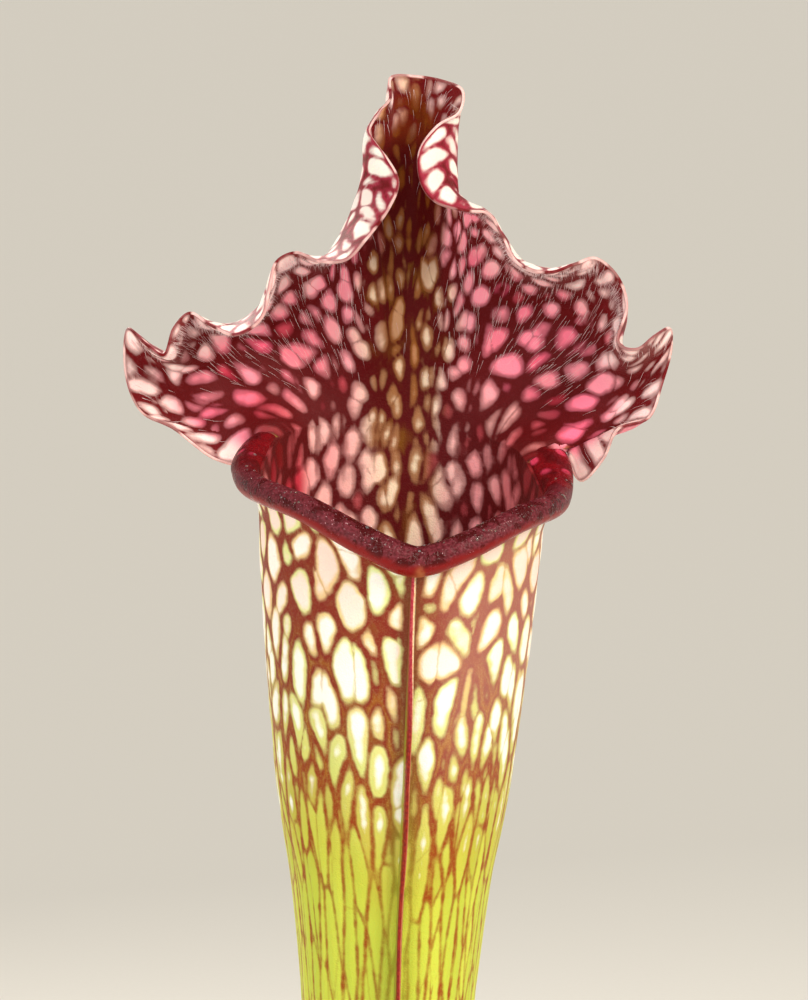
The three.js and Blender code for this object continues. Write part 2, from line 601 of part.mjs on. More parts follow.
function makeHood() {
  const last = HOOD_MARGIN.length - 1;
  const columns = Math.round(last * COLUMNS_PER_FRILL_POINT);
  const rows = HOOD_STEPS + 1;
  const shareOf = (r) => (r === 0 ? -1 : (r - 1) / (HOOD_STEPS - 1));
  const middle = [];
  for (let c = 0; c <= columns; c += 1) {
    for (let r = 0; r < rows; r += 1) middle.push(hoodPoint((c / columns) * last, shareOf(r)));
  }
  const within = (i, count) => THREE.MathUtils.clamp(i, 0, count - 1);
  const at = (c, r) => middle[within(c, columns + 1) * rows + within(r, rows)];
  const front = [];
  const back = [];
  for (let c = 0; c <= columns; c += 1) {
    for (let r = 0; r < rows; r += 1) {
      const across = at(c + 1, r).clone().sub(at(c - 1, r));
      const along = at(c, r + 1).clone().sub(at(c, r - 1));
      const normal = across.cross(along).normalize().multiplyScalar(HOOD_THICKNESS / 2);
      front.push(at(c, r).clone().add(normal).toArray());
      back.push(at(c, r).clone().sub(normal).toArray());
    }
  }
  return sheetSolid(front, back, columns + 1, rows);
}

function makePitcher() {
  return joined([makeTube(), makeLip(), makeWing(), makeHood()]);
}

const plant = new THREE.Group();
plant.add(
  namedMesh('pot', makePot()),
  namedMesh('soil', makeSoil()),
  namedMesh('rhizome', makeRhizome()),
  namedMesh('pitcher', makePitcher()),
);

export default plant;
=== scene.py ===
# %% [markdown]
# # A potted white pitcher plant
#
# One tall trumpet leaf grows out of a pot of peat. Its lower tube is green with thin red veins, its upper
# tube is white with a net of brownish red veins, and its frilled hood is pink and maroon. This lesson
# builds the leaf's skin, lip and wing, then the plant's foot and its pot of peat, and last the hairs, the
# nectar and the light of a plain studio picture.
#
# The solid model is loaded first. It fixes every size and place, so nothing here is fitted by eye.

import bmesh
import bpy
import numpy as np
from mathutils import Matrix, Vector


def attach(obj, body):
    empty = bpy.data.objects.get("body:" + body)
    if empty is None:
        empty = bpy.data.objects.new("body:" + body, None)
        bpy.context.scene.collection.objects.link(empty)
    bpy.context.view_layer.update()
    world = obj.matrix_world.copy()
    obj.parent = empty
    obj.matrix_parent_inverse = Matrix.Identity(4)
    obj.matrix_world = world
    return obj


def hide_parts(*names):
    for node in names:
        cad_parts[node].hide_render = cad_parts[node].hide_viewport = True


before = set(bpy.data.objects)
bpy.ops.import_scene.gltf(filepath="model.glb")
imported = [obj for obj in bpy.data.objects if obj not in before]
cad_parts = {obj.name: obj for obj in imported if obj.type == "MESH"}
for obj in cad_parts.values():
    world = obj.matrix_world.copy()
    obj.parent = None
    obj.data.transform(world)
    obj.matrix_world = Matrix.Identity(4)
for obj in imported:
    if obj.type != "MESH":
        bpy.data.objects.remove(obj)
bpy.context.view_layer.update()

# %% [markdown]
# ## Camera
#
# The picture was taken level with the mouth of the trumpet, from a little above it, with a long lens that
# keeps the tube's sides straight. A camera could be moved about by hand until the view fits. Here it is
# placed by its distance and elevation, so the same numbers give the same view on every run. The tall side
# of the picture sets the lens, because the tall side is what the plant fills.

# %% Camera
MM = 0.001
VIEW_TARGET = np.array([4.66, 0.0, 309.8])
VIEW_DISTANCE = 700.0
VIEW_ELEVATION = np.radians(6)
VIEW_HALF_HEIGHT = 67.8  # mm shown above and below the target
SENSOR = 36.0

camera_data = bpy.data.cameras.new("camera")
camera_data.sensor_fit = "VERTICAL"
camera_data.sensor_height = SENSOR
camera_data.sensor_width = SENSOR
camera_data.lens = SENSOR / 2 * VIEW_DISTANCE / VIEW_HALF_HEIGHT
camera = bpy.data.objects.new("camera", camera_data)
bpy.context.scene.collection.objects.link(camera)
away = np.array([0.0, -np.cos(VIEW_ELEVATION), np.sin(VIEW_ELEVATION)])
camera.location = (VIEW_TARGET + VIEW_DISTANCE * away) * MM
camera.rotation_euler = (np.pi / 2 - VIEW_ELEVATION, 0, 0)
camera_data.clip_start, camera_data.clip_end = 0.01, 1000
bpy.context.scene.camera = camera
print("lens:", round(camera_data.lens, 1), "mm")

# %% [markdown]
# ## Curves through stations
#
# A leaf has no straight edges, so its sizes are given at a few stations and read anywhere between them.
# Straight lines between stations would leave kinks. One cubic piece from each station to the next, with a
# slope shared by both pieces, gives a smooth run, and numpy works it out for thousands of places at once.


# %% Smooth steps and curves
def smooth(t):
    """0 below 0, 1 above 1, and 3t^2 - 2t^3 between."""
    t = np.clip(t, 0, 1)
    return t * t * (3 - 2 * t)


def rise(value, start, span):
    """A smooth step: 0 up to `start`, and 1 from `start` + `span` on."""
    return smooth((value - start) / span)


def fall(value, start, span):
    """The opposite step: 1 up to `start`, and 0 from `start` + `span` on."""
    return 1 - rise(value, start, span)


def mix(a, b, t):
    """The value that lies the share t of the way from a to b."""
    return a + (b - a) * t


def through(rows, at):
    """Reads rows of [position, value, ...] at any positions.

    Between two stations the value is a cubic. Its slope at a station is the rise between the station's two
    neighbours over their distance. The result has one more axis than `at`, which holds the values.
    """
    rows = np.asarray(rows, float)
    place, values = rows[:, 0], rows[:, 1:]
    last = len(rows) - 1
    at = np.clip(np.asarray(at, float), place[0], place[last])
    k = np.clip(np.searchsorted(place, at, side="left") - 1, 0, last - 1)
    before = np.maximum(np.arange(last + 1) - 1, 0)
    after = np.minimum(np.arange(last + 1) + 1, last)
    slope = (values[after] - values[before]) / (place[after] - place[before])[:, None]
    step = (place[k + 1] - place[k])[..., None]
    t = (at - place[k])[..., None] / step
    start = values[k] * (2 * t**3 - 3 * t**2 + 1) + slope[k] * step * (t**3 - 2 * t**2 + t)
    end = values[k + 1] * (3 * t**2 - 2 * t**3) + slope[k + 1] * step * (t**3 - t**2)
    return start + end


def value_through(rows, at):
    """As through(), for rows that hold one value each."""
    return through(rows, at)[..., 0]


def unit(vectors):
    """The vectors, each scaled to length 1."""
    return vectors / np.maximum(np.linalg.norm(vectors, axis=-1, keepdims=True), 1e-9)


def xyz(x, y, z):
    """Points from three arrays or numbers, each spread to the shape of the largest."""
    return np.stack(np.broadcast_arrays(x, y, z), axis=-1)


def full_turn(count):
    """`count` angles in equal steps once round, in radians."""
    return np.linspace(0, 2 * np.pi, count, endpoint=False)


# %% [markdown]
# ## The tube's shape
#
# The tube is a ring that grows with height, leans a little to the right and dips to a spout at the front
# of its rim. A cylinder could be pulled into that shape. Here it is a function of an angle and a height,
# so the skin, the veins, the lip and the wing can all ask it for a point. The sizes are the solid
# model's, in millimetres and degrees.

# %% Sizes of the tube and its rim
LEAF_FOOT_Z = 87.0
STALK_Z = 92.0
MOUTH_Z = 312.0
HOLLOW_Z = 118.0
HOLLOW_DIP = 1.5
LEAN = 0.00907
LEAN_GROWTH = 5.06e-5
TUBE_WALL = 1.2
DEPTH_RATIO = 0.97
LIP_FLARE = 1.1
LIP_FLARE_HEIGHT = 5.0
LIP_FLARE_FADE = 45.0
LIP_END_ANGLE = 121.0
WING_ANGLE = 5.6
RIM_TILT = -1.3
TUBE_RADIUS = [
    [-10, 3.6], [0, 3.7], [20, 3.8], [50, 4.9], [90, 7.3], [120, 9.5], [150, 11.9], [164, 13.4],
    [179, 15.9], [194, 17.6], [209, 18.9], [220, 19.5], [232, 19.9],
]
RIM_HEIGHT = [[0, -8.3], [8, -7.5], [20, -5.7], [45, -2.2], [88, -0.2], [104, 2.0], [120, 4.8], [180, 7.0]]


def from_front(angle):
    """The same angle, between -180 and 180 degrees from the front."""
    return (angle + 180) % 360 - 180


def from_back(angle):
    """The angle from the middle of the back, where the hood's midrib is, between -180 and 180 degrees."""
    return 180 - angle % 360


def leaf_middle(z):
    """How far the tube's middle has leaned to +X at height z: a straight lean plus a growing one."""
    h = np.maximum(0, z - STALK_Z)
    return LEAN * h + LEAN_GROWTH * h * h


MOUTH = np.array([leaf_middle(MOUTH_Z), 0.0, MOUTH_Z])


def rim_z(angle):
    """Height of the rim at an angle in degrees from the front. Its spout lies at the wing."""
    angle = from_front(angle)
    turn = np.radians(angle)
    from_spout = np.abs(angle - WING_ANGLE * np.cos(turn / 2))
    return MOUTH_Z + value_through(RIM_HEIGHT, from_spout) + RIM_TILT * np.sin(turn)


def tube_point(angle, z, out):
    """The point at an angle and height, `out` mm outside the tube's skin."""
    radius = value_through(TUBE_RADIUS, z - STALK_Z)
    turn = np.radians(angle)
    x = leaf_middle(z) + (radius + out) * np.sin(turn)
    y = -(radius * DEPTH_RATIO + out) * np.cos(turn)
    return xyz(x, y, z)


def flare(angle, z):
    """How far the wall turns out just under the lip."""
    aside = np.abs(from_front(angle))
    under = fall(aside - LIP_END_ANGLE, -LIP_FLARE_FADE, LIP_FLARE_FADE)
    return LIP_FLARE * under * rise(z - rim_z(angle), -LIP_FLARE_HEIGHT, LIP_FLARE_HEIGHT)


print("mouth middle:", MOUTH.round(2), "rim at the front:", rim_z(0.0).round(1))

# %% [markdown]
# ## The hood's shape
#
# The hood is a fan. Each of its veins starts on the rim at the back of the mouth, crosses the line of the
# hood's body and ends on the frilled margin. It could be sculpted from a flat sheet. Here two rows of
# points, on the margin and on the body's line, set the shape, and smooth curves join them.

# %% Sizes of the hood
SHOULDER = 0.62  # share of each vein at which it crosses the body's line
HOOD_SIDE_LEAN = 0.85
HOOD_LEAN_FROM = 30.0
HOOD_LEAN_SPAN = 36.0
HOOD_LEAN_RISE = 0.3
HOOD_ROOT_DEPTH = 3.5
# The margin, from the lip's left end over the tip to its right end: [angle of the vein's root, x, y, z]
HOOD_MARGIN = np.array([
    [-66, -22.6, 12, 1.2], [-64, -26.6, 12, 2.6], [-62, -31.6, 11, 6.6], [-60, -35.9, 9.5, 9],
    [-57, -37.9, 8, 14.2], [-54, -37.6, 6, 20.6], [-51, -34.8, 1.5, 18.9], [-49, -32.2, -0.5, 17.6],
    [-47, -31, 2, 21], [-44, -28.9, 5, 22.9], [-41, -26, 2, 21.4], [-38, -22.4, -2.5, 20.4],
    [-35, -19, -2.5, 22.6], [-32, -18, 0.5, 26.4], [-29, -17.2, 3.5, 29.8], [-26, -14.4, 3.5, 31.2],
    [-23, -11.4, 0, 30.2], [-20, -7.6, -2.4, 30.5], [-17, -4.6, -2.6, 33.6], [-14, -1.8, -2.4, 37.4],
    [-11.5, -0.5, -1.8, 41], [-9.5, -2.2, -0.5, 44.4], [-7.5, -4.4, 3, 47.4], [-6, -2.9, 3, 50.4],
    [-4, -1.6, 0.5, 52.2], [-2.5, -1.5, 1, 55], [0, 2.2, 4, 55], [2.5, 5.6, 3, 54.4],
    [4, 8.1, 0.5, 53.2], [6, 7.6, -0.6, 50.2], [8, 4.6, -1.6, 48.4], [10, 2.2, -2.3, 45.1],
    [12, 2.4, -2.6, 41], [14.5, 4.4, -2.4, 38.3], [17, 8.3, -2, 37.1], [20, 11.6, 0, 36.6],
    [24, 13.6, 2, 33.4], [28, 15.6, -0.5, 29.9], [32, 19.6, -4, 28.9], [36, 23.3, -2, 30],
    [39, 26.3, 2, 30.5], [43, 29.3, 4, 27.8], [46, 30.5, 4, 23.8], [49, 29.1, 1, 19.3],
    [51, 31.6, -1, 18.4], [53, 34.3, 2.5, 20], [55, 36.6, 7, 20.7], [57, 36.9, 9, 17.8],
    [59, 35.6, 8, 13.2], [61, 33.8, 7.5, 8.4], [62.5, 29.4, 5, 7], [64, 27.6, 8.5, 2.6],
    [65, 24.6, 11, -0.8], [66, 22.6, 12, 2.4],
])
# The body's line inside the frill, by the same angle: [angle, x, y, z]
HOOD_BODY = [
    [-66, -22.4, 13, 2.2], [-60, -28.6, 13, 7], [-52, -29.6, 12, 13.6], [-44, -25.6, 12.5, 17.6],
    [-35, -19.5, 13.5, 21.6], [-27, -14.2, 13.5, 25.4], [-20, -10.4, 11.5, 29], [-14, -7.4, 7.5, 34.6],
    [-10, -5.4, 5, 40], [-6, -4.2, 7, 43.5], [0, 1.7, 11.5, 43], [6, 6.7, 6, 45],
    [10, 6.9, 2.5, 42], [14, 7.4, 4.5, 38.2], [20, 10.4, 10.5, 32.4], [27, 14.8, 13, 27.6],
    [35, 20.8, 13.5, 24.4], [43, 26.4, 13, 19.6], [50, 28.6, 12, 14.6], [57, 30, 12.5, 9.6],
    [62, 27, 12.5, 5], [66, 22.4, 13, 3.2],
]
MARGIN_ROWS = np.column_stack([np.arange(len(HOOD_MARGIN)), HOOD_MARGIN])
MARGIN_LAST = len(HOOD_MARGIN) - 1


def root_angle(u):
    """Angle of a vein's root from the middle of the mouth's back, for its place u along the margin."""
    return through(MARGIN_ROWS, u)[..., 0]


def hood_middle(u, s):
    """The hood's middle sheet at margin places u and shares s of the way up each vein, as [s, u, xyz].

    A vein is two cubics that meet on the body's line with a shared slope. The first leaves the rim in line
    with the tube's wall, leaning outwards towards the lip's ends.
    """
    stations = through(MARGIN_ROWS, u)
    root, edge = stations[:, 0], stations[:, 1:]
    angle = 180 - root
    z = rim_z(angle)
    start = tube_point(angle, z, flare(angle, z) - TUBE_WALL / 2)
    below = tube_point(angle, z - HOOD_ROOT_DEPTH, -TUBE_WALL / 2)
    body, margin = through(HOOD_BODY, root) + MOUTH, edge + MOUTH
    lower, upper = (body - start) / SHOULDER, (margin - body) / (1 - SHOULDER)
    middle_slope = lower * (1 - SHOULDER) + upper * SHOULDER
    turn = np.radians(angle)
    out = unit(xyz(np.sin(turn), -np.cos(turn), HOOD_LEAN_RISE))
    lean = HOOD_SIDE_LEAN * rise(np.abs(root), HOOD_LEAN_FROM, HOOD_LEAN_SPAN)[:, None]
    length = np.linalg.norm(lower, axis=-1, keepdims=True)
    start_slope = unit(mix(unit(start - below), out, lean)) * length
    end_slope = 2 * upper - middle_slope
    s = np.asarray(s, float)[:, None, None]
    near = s < SHOULDER
    span = np.where(near, SHOULDER, 1 - SHOULDER)
    t = np.where(near, s, s - SHOULDER) / span
    a, b = np.where(near, start, body), np.where(near, body, margin)
    da, db = np.where(near, start_slope, middle_slope), np.where(near, middle_slope, end_slope)
    ends = a * (2 * t**3 - 3 * t**2 + 1) + b * (3 * t**2 - 2 * t**3)
    slopes = da * (t**3 - 2 * t**2 + t) + db * (t**3 - t**2)
    return ends + span * slopes


TIP_ROW = 26  # the margin's row at the tip of the tongue
print("tip of the tongue:", hood_middle(np.array([float(TIP_ROW)]), [1.0])[0, 0].round(1))

# %% [markdown]
# ## Grids for the skin
#
# The leaf's skin is made in two closed pieces that meet edge to edge round the back of the mouth: the
# tube, and the hood. Each is a grid of points. The net of veins will be stored on these points, so the
# grid is fine where the camera looks, about 0.4 mm, and coarse near the plant's foot.

# %% Grids for the skin
HOOD_COLUMNS = 400
HOOD_ROWS = 104
TUBE_BACK_EVERY = 4  # hood columns to one tube column round the back
TUBE_FRONT_COLUMNS = 256
FINE_FROM_Z = 252.0  # the tube's rows are finest above this height
FINE_ROWS = 108
MIDDLE_FROM_Z = 180.0
MIDDLE_ROWS = 62
LOWER_ROWS = 34
INNER_FROM_Z = 286.0
INNER_ROWS = 40
INNER_LOWER_ROWS = 12

hood_u = np.linspace(0, MARGIN_LAST, HOOD_COLUMNS + 1)
hood_root = root_angle(hood_u)
hood_s = np.linspace(0, 1, HOOD_ROWS)
hood_sheet = hood_middle(hood_u, hood_s)

# Tube columns, by the angle from the front: round the back at the hood's columns, then round the front.
back_angles = (180 - hood_root)[::-TUBE_BACK_EVERY]
front_angles = np.linspace(back_angles[-1], back_angles[0] + 360, TUBE_FRONT_COLUMNS + 1)[1:-1]
tube_angles = np.concatenate([back_angles, front_angles])
tube_rim = rim_z(tube_angles)


def heights(foot, top, count):
    """`count` rows from a level foot up to, but not at, a level or uneven top, as [row, column]."""
    share = np.arange(count)[:, None] / count
    return mix(foot, top, share) * np.ones_like(tube_angles)


outer_z = np.vstack([
    heights(LEAF_FOOT_Z, MIDDLE_FROM_Z, LOWER_ROWS),
    heights(MIDDLE_FROM_Z, FINE_FROM_Z, MIDDLE_ROWS),
    heights(FINE_FROM_Z, tube_rim, FINE_ROWS),
    tube_rim,
])
inner_z = np.vstack([
    heights(HOLLOW_Z, INNER_FROM_Z, INNER_LOWER_ROWS),
    heights(INNER_FROM_Z, tube_rim, INNER_ROWS),
    tube_rim,
])[::-1]
print("tube grid:", outer_z.shape, "and", inner_z.shape, "hood grid:", hood_sheet.shape)

# %% [markdown]
# ## Leaf coordinates
#
# A vein pattern painted in plain X, Y and Z would swim across the folds of the frill. Veins follow the
# leaf, so the pattern uses the leaf's own coordinates: the angle of the vein that a point lies on, and
# the distance along it from the rim, which is negative down the tube. A third number says how many
# millimetres one degree spans.


# %% Leaf coordinates of each grid
def lengths_along(sheet):
    """Distance along each column of [row, column, xyz], summed from row to row."""
    steps = np.linalg.norm(np.diff(sheet, axis=0), axis=-1)
    return np.vstack([np.zeros(sheet.shape[1]), np.cumsum(steps, axis=0)])


def blurred(values, reach, wrap=False):
    """Each value of a row averaged with its neighbours, by a bell `reach` columns wide."""
    at = np.arange(-3 * reach, 3 * reach + 1)
    bell = np.exp(-0.5 * (at / reach) ** 2)
    bell /= bell.sum()
    padded = np.pad(values, [(0, 0), (3 * reach, 3 * reach)], mode="wrap" if wrap else "edge")
    return sum(share * padded[:, i:i + values.shape[1]] for i, share in enumerate(bell))


hood_along = lengths_along(hood_sheet)
hood_length = hood_along[-1]
hood_angle = np.broadcast_to(180 - hood_root, hood_along.shape)
across = np.linalg.norm(np.gradient(hood_sheet, axis=1), axis=-1) / np.abs(np.gradient(hood_root))
hood_scale = blurred(across, 5)


def tube_scale(z):
    """Millimetres per degree round the tube at height z."""
    return np.radians(value_through(TUBE_RADIUS, z - STALK_Z))


outer_along, inner_along = outer_z - tube_rim, inner_z - tube_rim
print("hood veins:", hood_length.min().round(1), "to", hood_length.max().round(1), "mm long")

# %% [markdown]
# ## The net of veins
#
# The veins of this leaf make a net, and each mesh of the net is a pale window. Such a net is left between
# cells that grow from seeds until they meet: a Voronoi pattern. Blender has a Voronoi texture, but its
# cells are all alike. Here the seeds are placed by the leaf's own rules: windows are round in the hood,
# long under the lip, and so long lower down that their borders run as near parallel veins.

# %% Seeds of the windows
random = np.random.default_rng(11)
# Down the tube: [distance from the rim, width of a window with its vein, length over width]
TUBE_WINDOWS = [
    [-225, 1.1, 14], [-150, 1.3, 13], [-100, 1.5, 12], [-62, 1.8, 9], [-50, 2.1, 6.5], [-40, 2.6, 4.4],
    [-30, 3.3, 2.8], [-20, 4.3, 1.9], [-10, 4.8, 1.5], [-4, 4.4, 1.4], [0, 3.8, 1.4],
]
HOOD_WINDOW = 3.8  # width of a window with its vein
HOOD_STRETCH = 1.12  # length over width in the hood
MIDRIB_REACH = 9.0  # degrees over which windows are slimmer and longer at the middle
MIDRIB_SLIMMER = 0.34
MIDRIB_LONGER = 1.0
SIDE_LONGER = 0.4  # added to the stretch in the hood's side lobes
BACK_SHARE = 0.74  # windows at the back of the mouth are this much narrower than in front
GOLDEN = 0.618034  # spreads the phases of neighbouring columns evenly
ACROSS_JITTER = 0.22
ALONG_JITTER = 0.16
SMALL_SHARE = 0.3  # one small window at the corner of this share of the others
FIRST_TUBE_RING, LAST_TUBE_RING = -1.5, -226
FIRST_HOOD_RING, HOOD_RING_SPACING = 3.5, 1.15


def past_rim(along):
    """0 from 2 mm below the rim down, 1 from 2 mm above it up."""
    return smooth(along / 4 + 0.5)


def window_width(angle, along):
    """Width of a window with its vein: read down the tube, slimmer at its back and at the hood's midrib."""
    root = from_back(angle)
    middle = np.exp(-(root / MIDRIB_REACH) ** 2)
    hood = HOOD_WINDOW * (1 - MIDRIB_SLIMMER * middle)
    back = mix(BACK_SHARE, 1, rise(np.abs(root), 70, 30))
    tube = value_through(TUBE_WINDOWS, along) * mix(1, back, rise(along, -40, 15))
    return mix(tube, hood, past_rim(along))


def window_stretch(angle, along):
    """Length of a window over its width."""
    root = from_back(angle)
    middle = np.exp(-(root / MIDRIB_REACH) ** 2)
    hood = HOOD_STRETCH + MIDRIB_LONGER * middle + SIDE_LONGER * rise(np.abs(root), 28, 14)
    return mix(through(TUBE_WINDOWS, along)[..., 1], hood, past_rim(along))


def ring_of_seeds(angles, scale, inside, level):
    """Seeds on one ring at a level along the leaf, in columns a window apart, then shaken.

    The windows per degree are summed round the ring, and the seeds lie where the sum passes whole numbers.
    Each column is shifted along the leaf by its own share of a window, so no rows show across it.
    """
    per_degree = np.where(inside, scale / window_width(angles, level), 0.0)
    total = np.concatenate([[0.0], np.cumsum((per_degree[1:] + per_degree[:-1]) / 2 * np.diff(angles))])
    count = int(round(total[-1]))
    if count < 1:
        return np.zeros((0, 2))
    column = np.arange(count)
    place = (column + 0.5 + ACROSS_JITTER * random.uniform(-1, 1, count)) / count
    angle = np.interp(place * total[-1], total, angles)
    length = window_width(angle, level) * window_stretch(angle, level)
    shift = (GOLDEN * column) % 1 - 0.5 + ALONG_JITTER * random.uniform(-1, 1, count)
    return np.column_stack([angle, level + length * shift])


rings = []
level = FIRST_TUBE_RING
circle = np.linspace(-180, 180, 361)
while level > LAST_TUBE_RING:
    scale = tube_scale(MOUTH_Z + level) * np.ones_like(circle)
    rings.append(ring_of_seeds(circle, scale, np.full(circle.shape, True), level))
    level -= float(window_width(0.0, level) * window_stretch(0.0, level))
level = FIRST_HOOD_RING
hood_angles = (180 - hood_root)[::-1]
while level < hood_length.max():
    at_level = np.array([np.interp(level, *column) for column in zip(hood_along.T, hood_scale.T)])
    inside = (level < hood_length + 0.5)[::-1]
    rings.append(ring_of_seeds(hood_angles, at_level[::-1], inside, level))
    level += HOOD_WINDOW * HOOD_RING_SPACING
large = np.vstack(rings)
print("windows:", len(large))

# %% [markdown]
# ## Lobes and small windows
#
# Few windows of a real leaf are round. Many are like a heart or a clover leaf, because small cells have
# run together. So a window gets one to three seeds round its middle, and small windows are set at the
# corners of some large ones.

# %% Lobes
# Of the windows, these shares have one seed, and one or two. The rest have three: [tube, hood]
LOBE_SHARES = np.array([[0.4, 0.68], [0.78, 0.92]])
LOBE_REACH = 0.3  # from the window's middle to a lobe's seed, in window widths
SEED_PULL = 0.1  # how much a seed's pull varies, and is less for a small window


def scale_at(angle, along):
    """Millimetres per degree at any leaf coordinates, from the tube's radius or the nearest hood column."""
    column = np.clip(np.searchsorted(hood_root, from_back(angle)), 0, HOOD_COLUMNS)
    row = np.argmin(np.abs(hood_along[:, column] - along), axis=0)
    return np.where(along > 0, hood_scale[row, column], tube_scale(MOUTH_Z + np.minimum(along, 0)))


corner = random.uniform(size=len(large)) < SMALL_SHARE
at_corner = large[corner].T
small_width = window_width(*at_corner)
small_length = small_width * window_stretch(*at_corner)
small = at_corner + np.array([0.5 * small_width / scale_at(*at_corner), 0.5 * small_length])
parents = np.vstack([large, small.T])
is_small = np.arange(len(parents)) >= len(large)

draw = random.uniform(size=len(parents))
one, two = LOBE_SHARES[:, (parents[:, 1] > 0).astype(int)]
lobes = np.where(draw < one, 1, np.where(draw < two, 2, 3))
lobes[is_small] = 1
seed_window = np.repeat(np.arange(len(parents)), lobes)
lobe_number = np.concatenate([np.arange(n) for n in lobes])
lobe_turn = np.repeat(random.uniform(0, 2 * np.pi, len(parents)), lobes)
lobe_turn = lobe_turn + 2 * np.pi * lobe_number / lobes[seed_window]
width = window_width(*parents.T)[seed_window]
stretch = window_stretch(*parents.T)[seed_window]
reach = np.where(lobes[seed_window] > 1, LOBE_REACH * width, 0) * random.uniform(0.7, 1.3, len(seed_window))
seed_scale = scale_at(*parents.T)[seed_window]
seed_angle = parents[seed_window, 0] + reach * np.cos(lobe_turn) / seed_scale
seed_along = parents[seed_window, 1] + reach * np.sin(lobe_turn) * stretch
pull = SEED_PULL * width**2
seed_weight = pull * random.uniform(-1, 1, len(seed_window)) - pull * is_small[seed_window]
window_tint = random.uniform(-1, 1, (len(parents), 3))
print("seeds:", len(seed_window))

# %% [markdown]
# ## Distances in the net
#
# For each point of the skin, the nearest seed says which window it is in. The distance to the window's
# edge is the distance to the line half way to the nearest seed of another window. Where several such
# lines are near, a soft minimum rounds the corner, as real windows have. Distances to other seeds of the
# same window give the faint line between two lobes.

# %% Distances to the edges of the windows
NEIGHBOURS = 9
SHARPNESS, HOOD_SHARPNESS = 9.5, 7.5  # corners of windows are rounder when it is low
LOW_SHARPER = 0.9  # share by which they are sharper low on the tube
EDGE_SOFTNESS = 3.6  # the same per mm, where a vein runs beside the net
FAR = 9.0
LEAST_HALF_WIDTH = 0.26  # mm, so that the thinnest slanting veins are drawn without gaps
SEARCH_WIDTHS = 2.6  # how many windows away, at most, a near seed lies along the leaf
PAIR_MIX = (7919, 104729, 997)  # turns the numbers of two windows into a number that looks random


def soft_min(a, b, softness=EDGE_SOFTNESS):
    """The smaller of two distances, rounded where they are alike."""
    low = np.minimum(a, b)
    return low - np.log(np.exp(-softness * (a - low)) + np.exp(-softness * (b - low))) / softness


def net(angle, along, scale, half_width, vary, crossing):
    """Window number, distance into the window, distance to the line between lobes, and the vein's strength.

    One unit is a millimetre across the veins, or as many along them as windows are stretched. With squared
    distances d1 and d2 to two seeds that are g apart, the line between their cells is (d2 - d1) / (2 g)
    away. Each vein has a strength from 0 to 1, so its half width runs from 1 - vary to 1 + vary times the
    usual one, and one that crosses the leaf has only the share `crossing` of it. It is taken off before the
    soft minimum. The distance to the line between two lobes is negative on one side of it, so it stays
    exact between the grid's points.
    """
    shape = angle.shape
    stretch, vary = window_stretch(angle, along), np.broadcast_to(vary, shape)
    window = np.zeros(shape, int)
    inside, split, strength = np.zeros(shape), np.full(shape, FAR), np.zeros(shape)
    a_factor, b_factor, modulus = PAIR_MIX
    for r in range(shape[0]):
        reach = SEARCH_WIDTHS * float((window_width(angle[r], along[r]) * stretch[r]).max())
        near = np.flatnonzero((seed_along > along[r].min() - reach) & (seed_along < along[r].max() + reach))
        k = stretch[r][:, None]
        dx = from_front(angle[r][:, None] - seed_angle[near]) * scale[r][:, None]
        dy = (along[r][:, None] - seed_along[near]) / k
        d = dx * dx + dy * dy - seed_weight[near]
        pick = np.argpartition(d, NEIGHBOURS, axis=1)[:, :NEIGHBOURS]
        order = np.argsort(np.take_along_axis(d, pick, 1), axis=1)
        pick = np.take_along_axis(pick, order, 1)
        d, dx, dy = (np.take_along_axis(a, pick, 1) for a in (d, dx, dy))
        owner = seed_window[near][pick]
        first = owner[:, :1]
        gap = np.maximum(np.sqrt((dx - dx[:, :1]) ** 2 + ((dy - dy[:, :1]) / k) ** 2), 1e-6)
        line = (d - d[:, :1]) / 2 / gap
        lengthwise = ((dx - dx[:, :1]) / gap) ** 2
        low, high = np.minimum(owner, first), np.maximum(owner, first)
        pair = (low * a_factor + high * b_factor) % modulus / modulus
        half = half_width[r][:, None] * (1 + vary[r][:, None] * (2 * pair - 1))
        half = half * mix(crossing, 1, lengthwise)
        half = np.maximum(half, LEAST_HALF_WIDTH * rise(along[r][:, None], -80, 20))
        other = np.where(owner == first, FAR, line - half)
        least = other.min(axis=1, keepdims=True)
        sharpness = mix(SHARPNESS, HOOD_SHARPNESS, past_rim(along[r]))
        sharpness = sharpness * (1 + LOW_SHARPER * rise(-along[r], 34, 20))
        softness = (sharpness / window_width(angle[r], along[r]))[:, None]
        share = np.exp(-softness * (other - least))
        window[r] = owner[:, 0]
        inside[r] = (least - np.log(share.sum(axis=1, keepdims=True)) / softness)[:, 0]
        strength[r] = (share * pair).sum(axis=1) / share.sum(axis=1)
        same = np.where(owner == first, line, FAR)[:, 1:]
        partner = np.take_along_axis(pick, same.argmin(axis=1)[:, None] + 1, 1)[:, 0]
        side = np.where((pick[:, 0] > partner) & (lobes[window[r]] == 2), -1, 1)
        split[r] = side * same.min(axis=1)
    return window, inside, split, strength


# %% [markdown]
# ## Main veins
#
# Real nets also have main veins that run on through the fan, and a thin vein just inside the margin. They
# are added by taking the smaller of two distances, so they join the net's own veins in rounded corners.

